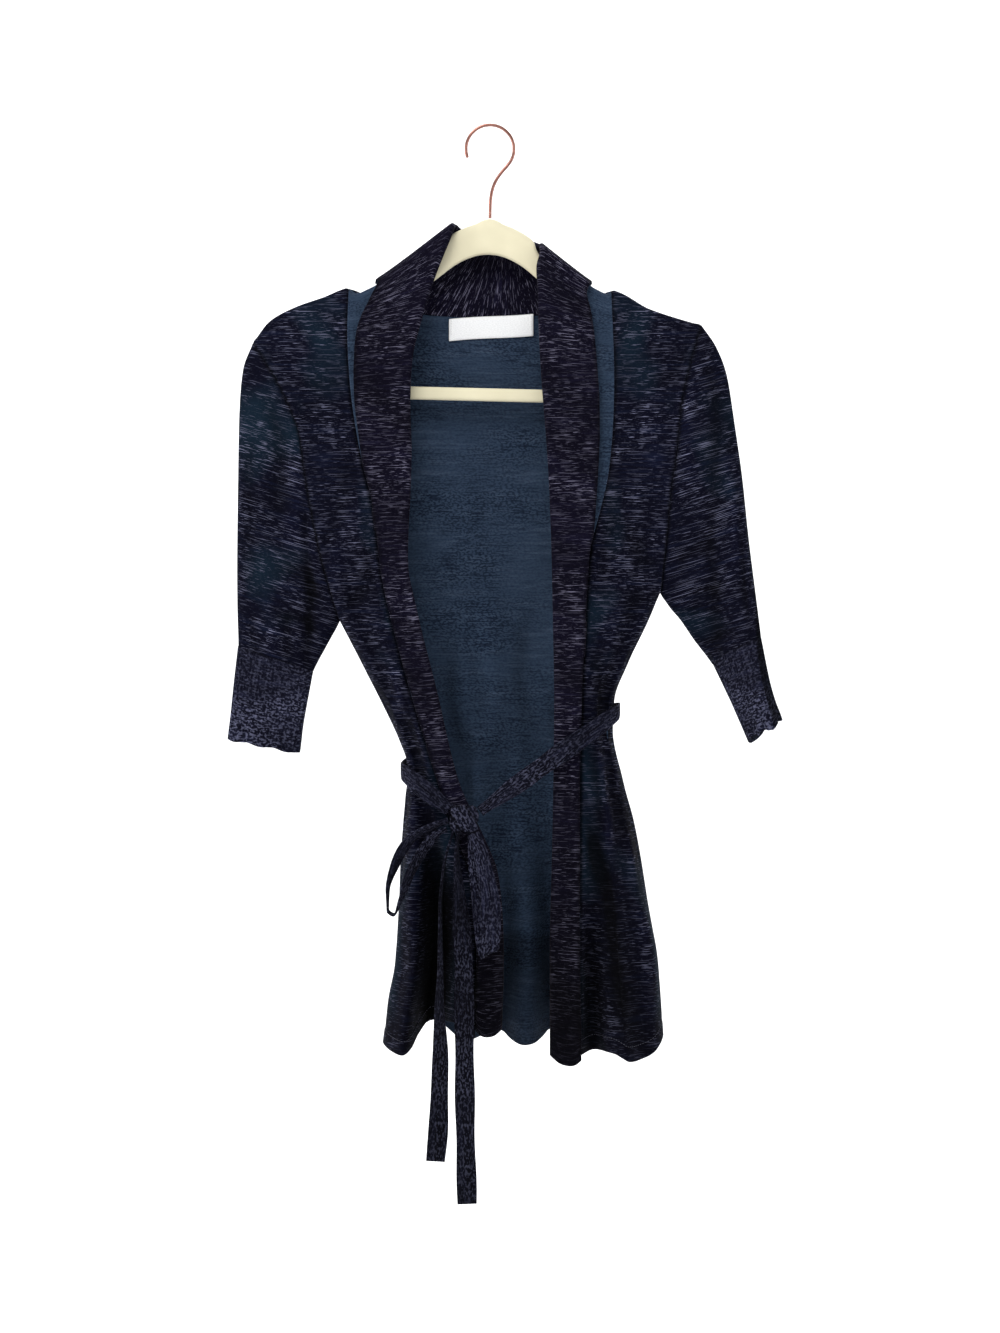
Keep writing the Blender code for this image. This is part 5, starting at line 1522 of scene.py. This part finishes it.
def mould_hanger():
    half = np.stack([HANGER_HALF.columns[n] for n in ("outer_x", "outer_z", "inner_x", "inner_z")], axis=1)
    sections = np.concatenate([half, half[-2:0:-1] * np.array([-1, 1, -1, 1])])
    closed = np.concatenate((sections, sections[:1]))
    middles = (closed[:, :2] + closed[:, 2:]) / 2
    reach = reach_along(middles)
    at = np.arange(0, reach[-1] - 1.0, 2.2)
    drawn = np.stack([smooth_curve(reach, closed[:, k], at) for k in range(4)], axis=1)
    peak_z = half[0, 1]
    cos, sin = math.cos(HANGER_TILT), math.sin(HANGER_TILT)
    profile = []
    for k in range(20):
        angle = 2 * math.pi * (k + 0.5) / 20
        across, thick = math.cos(angle), math.sin(angle)
        blunt = (abs(across) ** 5 + abs(thick) ** 5) ** -0.2
        profile.append((across * blunt, thick * blunt))
    rings = []
    for outer_x, outer_z, inner_x, inner_z in drawn:
        outer, inner = np.array([outer_x, outer_z]), np.array([inner_x, inner_z])
        middle, reach_out = (outer + inner) / 2, (outer - inner) / 2
        for across, thick in profile:
            x, z = middle + reach_out * across
            rings.append((x * cos + (z - peak_z) * sin, thick * HANGER_THICKNESS / 2,
                          peak_z + (z - peak_z) * cos - x * sin))
    count, around = len(drawn), len(profile)
    faces = [(i * around + k, i * around + (k + 1) % around,
              (i + 1) % count * around + (k + 1) % around, (i + 1) % count * around + k)
             for i in range(count) for k in range(around)]
    mesh = bpy.data.meshes.new("moulded_hanger")
    mesh.from_pydata((np.array(rings) * MM).tolist(), [], faces)
    front = [p for p in mesh.polygons if abs(p.normal.y) > 0.9]
    if sum(p.normal.y * p.center.y * p.area for p in front) < 0:
        mesh.flip_normals()
    mesh.shade_smooth()
    mesh.materials.append(cream_material())
    add_piece(mesh, "hanger_body")


mould_hanger()


# The hook: one length of copper-coloured wire, bent round and set into the top of the hanger. The round of
# it above the first bend is a guess.

HOOK_RADIUS = 21.6
HOOK_WIRE = 3.0


def copper_material():
    copper, tree, shader = new_finish("copper_wire", 0.26)
    place = add_node(tree, "ShaderNodeTexCoord").outputs["Object"]
    rubbed = add_node(tree, "ShaderNodeTexNoise", {"Vector": place, "Scale": 160.0, "Detail": 3.0})
    tree.links.new(blend_colour(tree, rubbed.outputs[0], (0.24, 0.10, 0.08, 1), (0.46, 0.24, 0.19, 1)),
                   shader.inputs["Base Color"])
    dull = add_node(tree, "ShaderNodeMapRange", {0: rubbed.outputs[0], 3: 0.18, 4: 0.34})
    tree.links.new(dull.outputs[0], shader.inputs["Roughness"])
    shader.inputs["Metallic"].default_value = 1.0
    return copper


def bend_hook():
    centre_z = -(HOOK_RADIUS - HOOK_WIRE / 2)
    stem = [(0.0, -82.4), (0.1, -76), (0.3, -69), (1.0, -62), (2.6, -55), (5.4, -48.5), (9.4, -42.5)]
    start, end, steps = math.radians(-38), math.radians(198), 22
    arc = [(HOOK_RADIUS * math.cos(start + (end - start) * i / steps),
            centre_z + HOOK_RADIUS * math.sin(start + (end - start) * i / steps)) for i in range(steps + 1)]
    bends = np.array([(x, 0.0, z) for x, z in stem + arc])
    reach = reach_along(bends)
    at = np.linspace(0, reach[-1], 150)
    path = np.stack([smooth_curve(reach, bends[:, k], at) for k in range(3)], axis=1)
    along = unit(np.gradient(path, axis=0))
    radii = np.full(len(path), HOOK_WIRE / 2)
    tip_way = along[-1]
    tip = [(path[-1] + tip_way * HOOK_WIRE / 2 * math.sin(a), HOOK_WIRE / 2 * math.cos(a))
           for a in np.linspace(0, math.pi / 2, 6)[1:-1]]
    path = np.concatenate((path, np.array([p for p, _ in tip])))
    radii = np.concatenate((radii, [r for _, r in tip]))
    along = np.concatenate((along, np.repeat(tip_way[None, :], len(tip), axis=0)))
    sides = 20
    depth = np.array([0.0, 1.0, 0.0])
    places = []
    for point, way, radius in zip(path, along, radii):
        across = np.array([way[2], 0.0, -way[0]])
        for k in range(sides):
            angle = 2 * math.pi * k / sides
            places.append(point + (across * math.cos(angle) + depth * math.sin(angle)) * radius)
    faces = [(sides * i + k, sides * i + (k + 1) % sides,
              sides * (i + 1) + (k + 1) % sides, sides * (i + 1) + k)
             for i in range(len(path) - 1) for k in range(sides)]
    faces += [tuple(range(sides))[::-1], tuple(sides * (len(path) - 1) + k for k in range(sides))]
    mesh = bpy.data.meshes.new("wire_hook")
    mesh.from_pydata((np.array(places) * MM).tolist(), [], faces)
    if mesh.polygons[0].normal.dot(mesh.polygons[0].center - Vector(path[0] * MM)) < 0:
        mesh.flip_normals()
    mesh.shade_smooth()
    mesh.materials.append(copper_material())
    add_piece(mesh, "hanger_hook")


bend_hook()
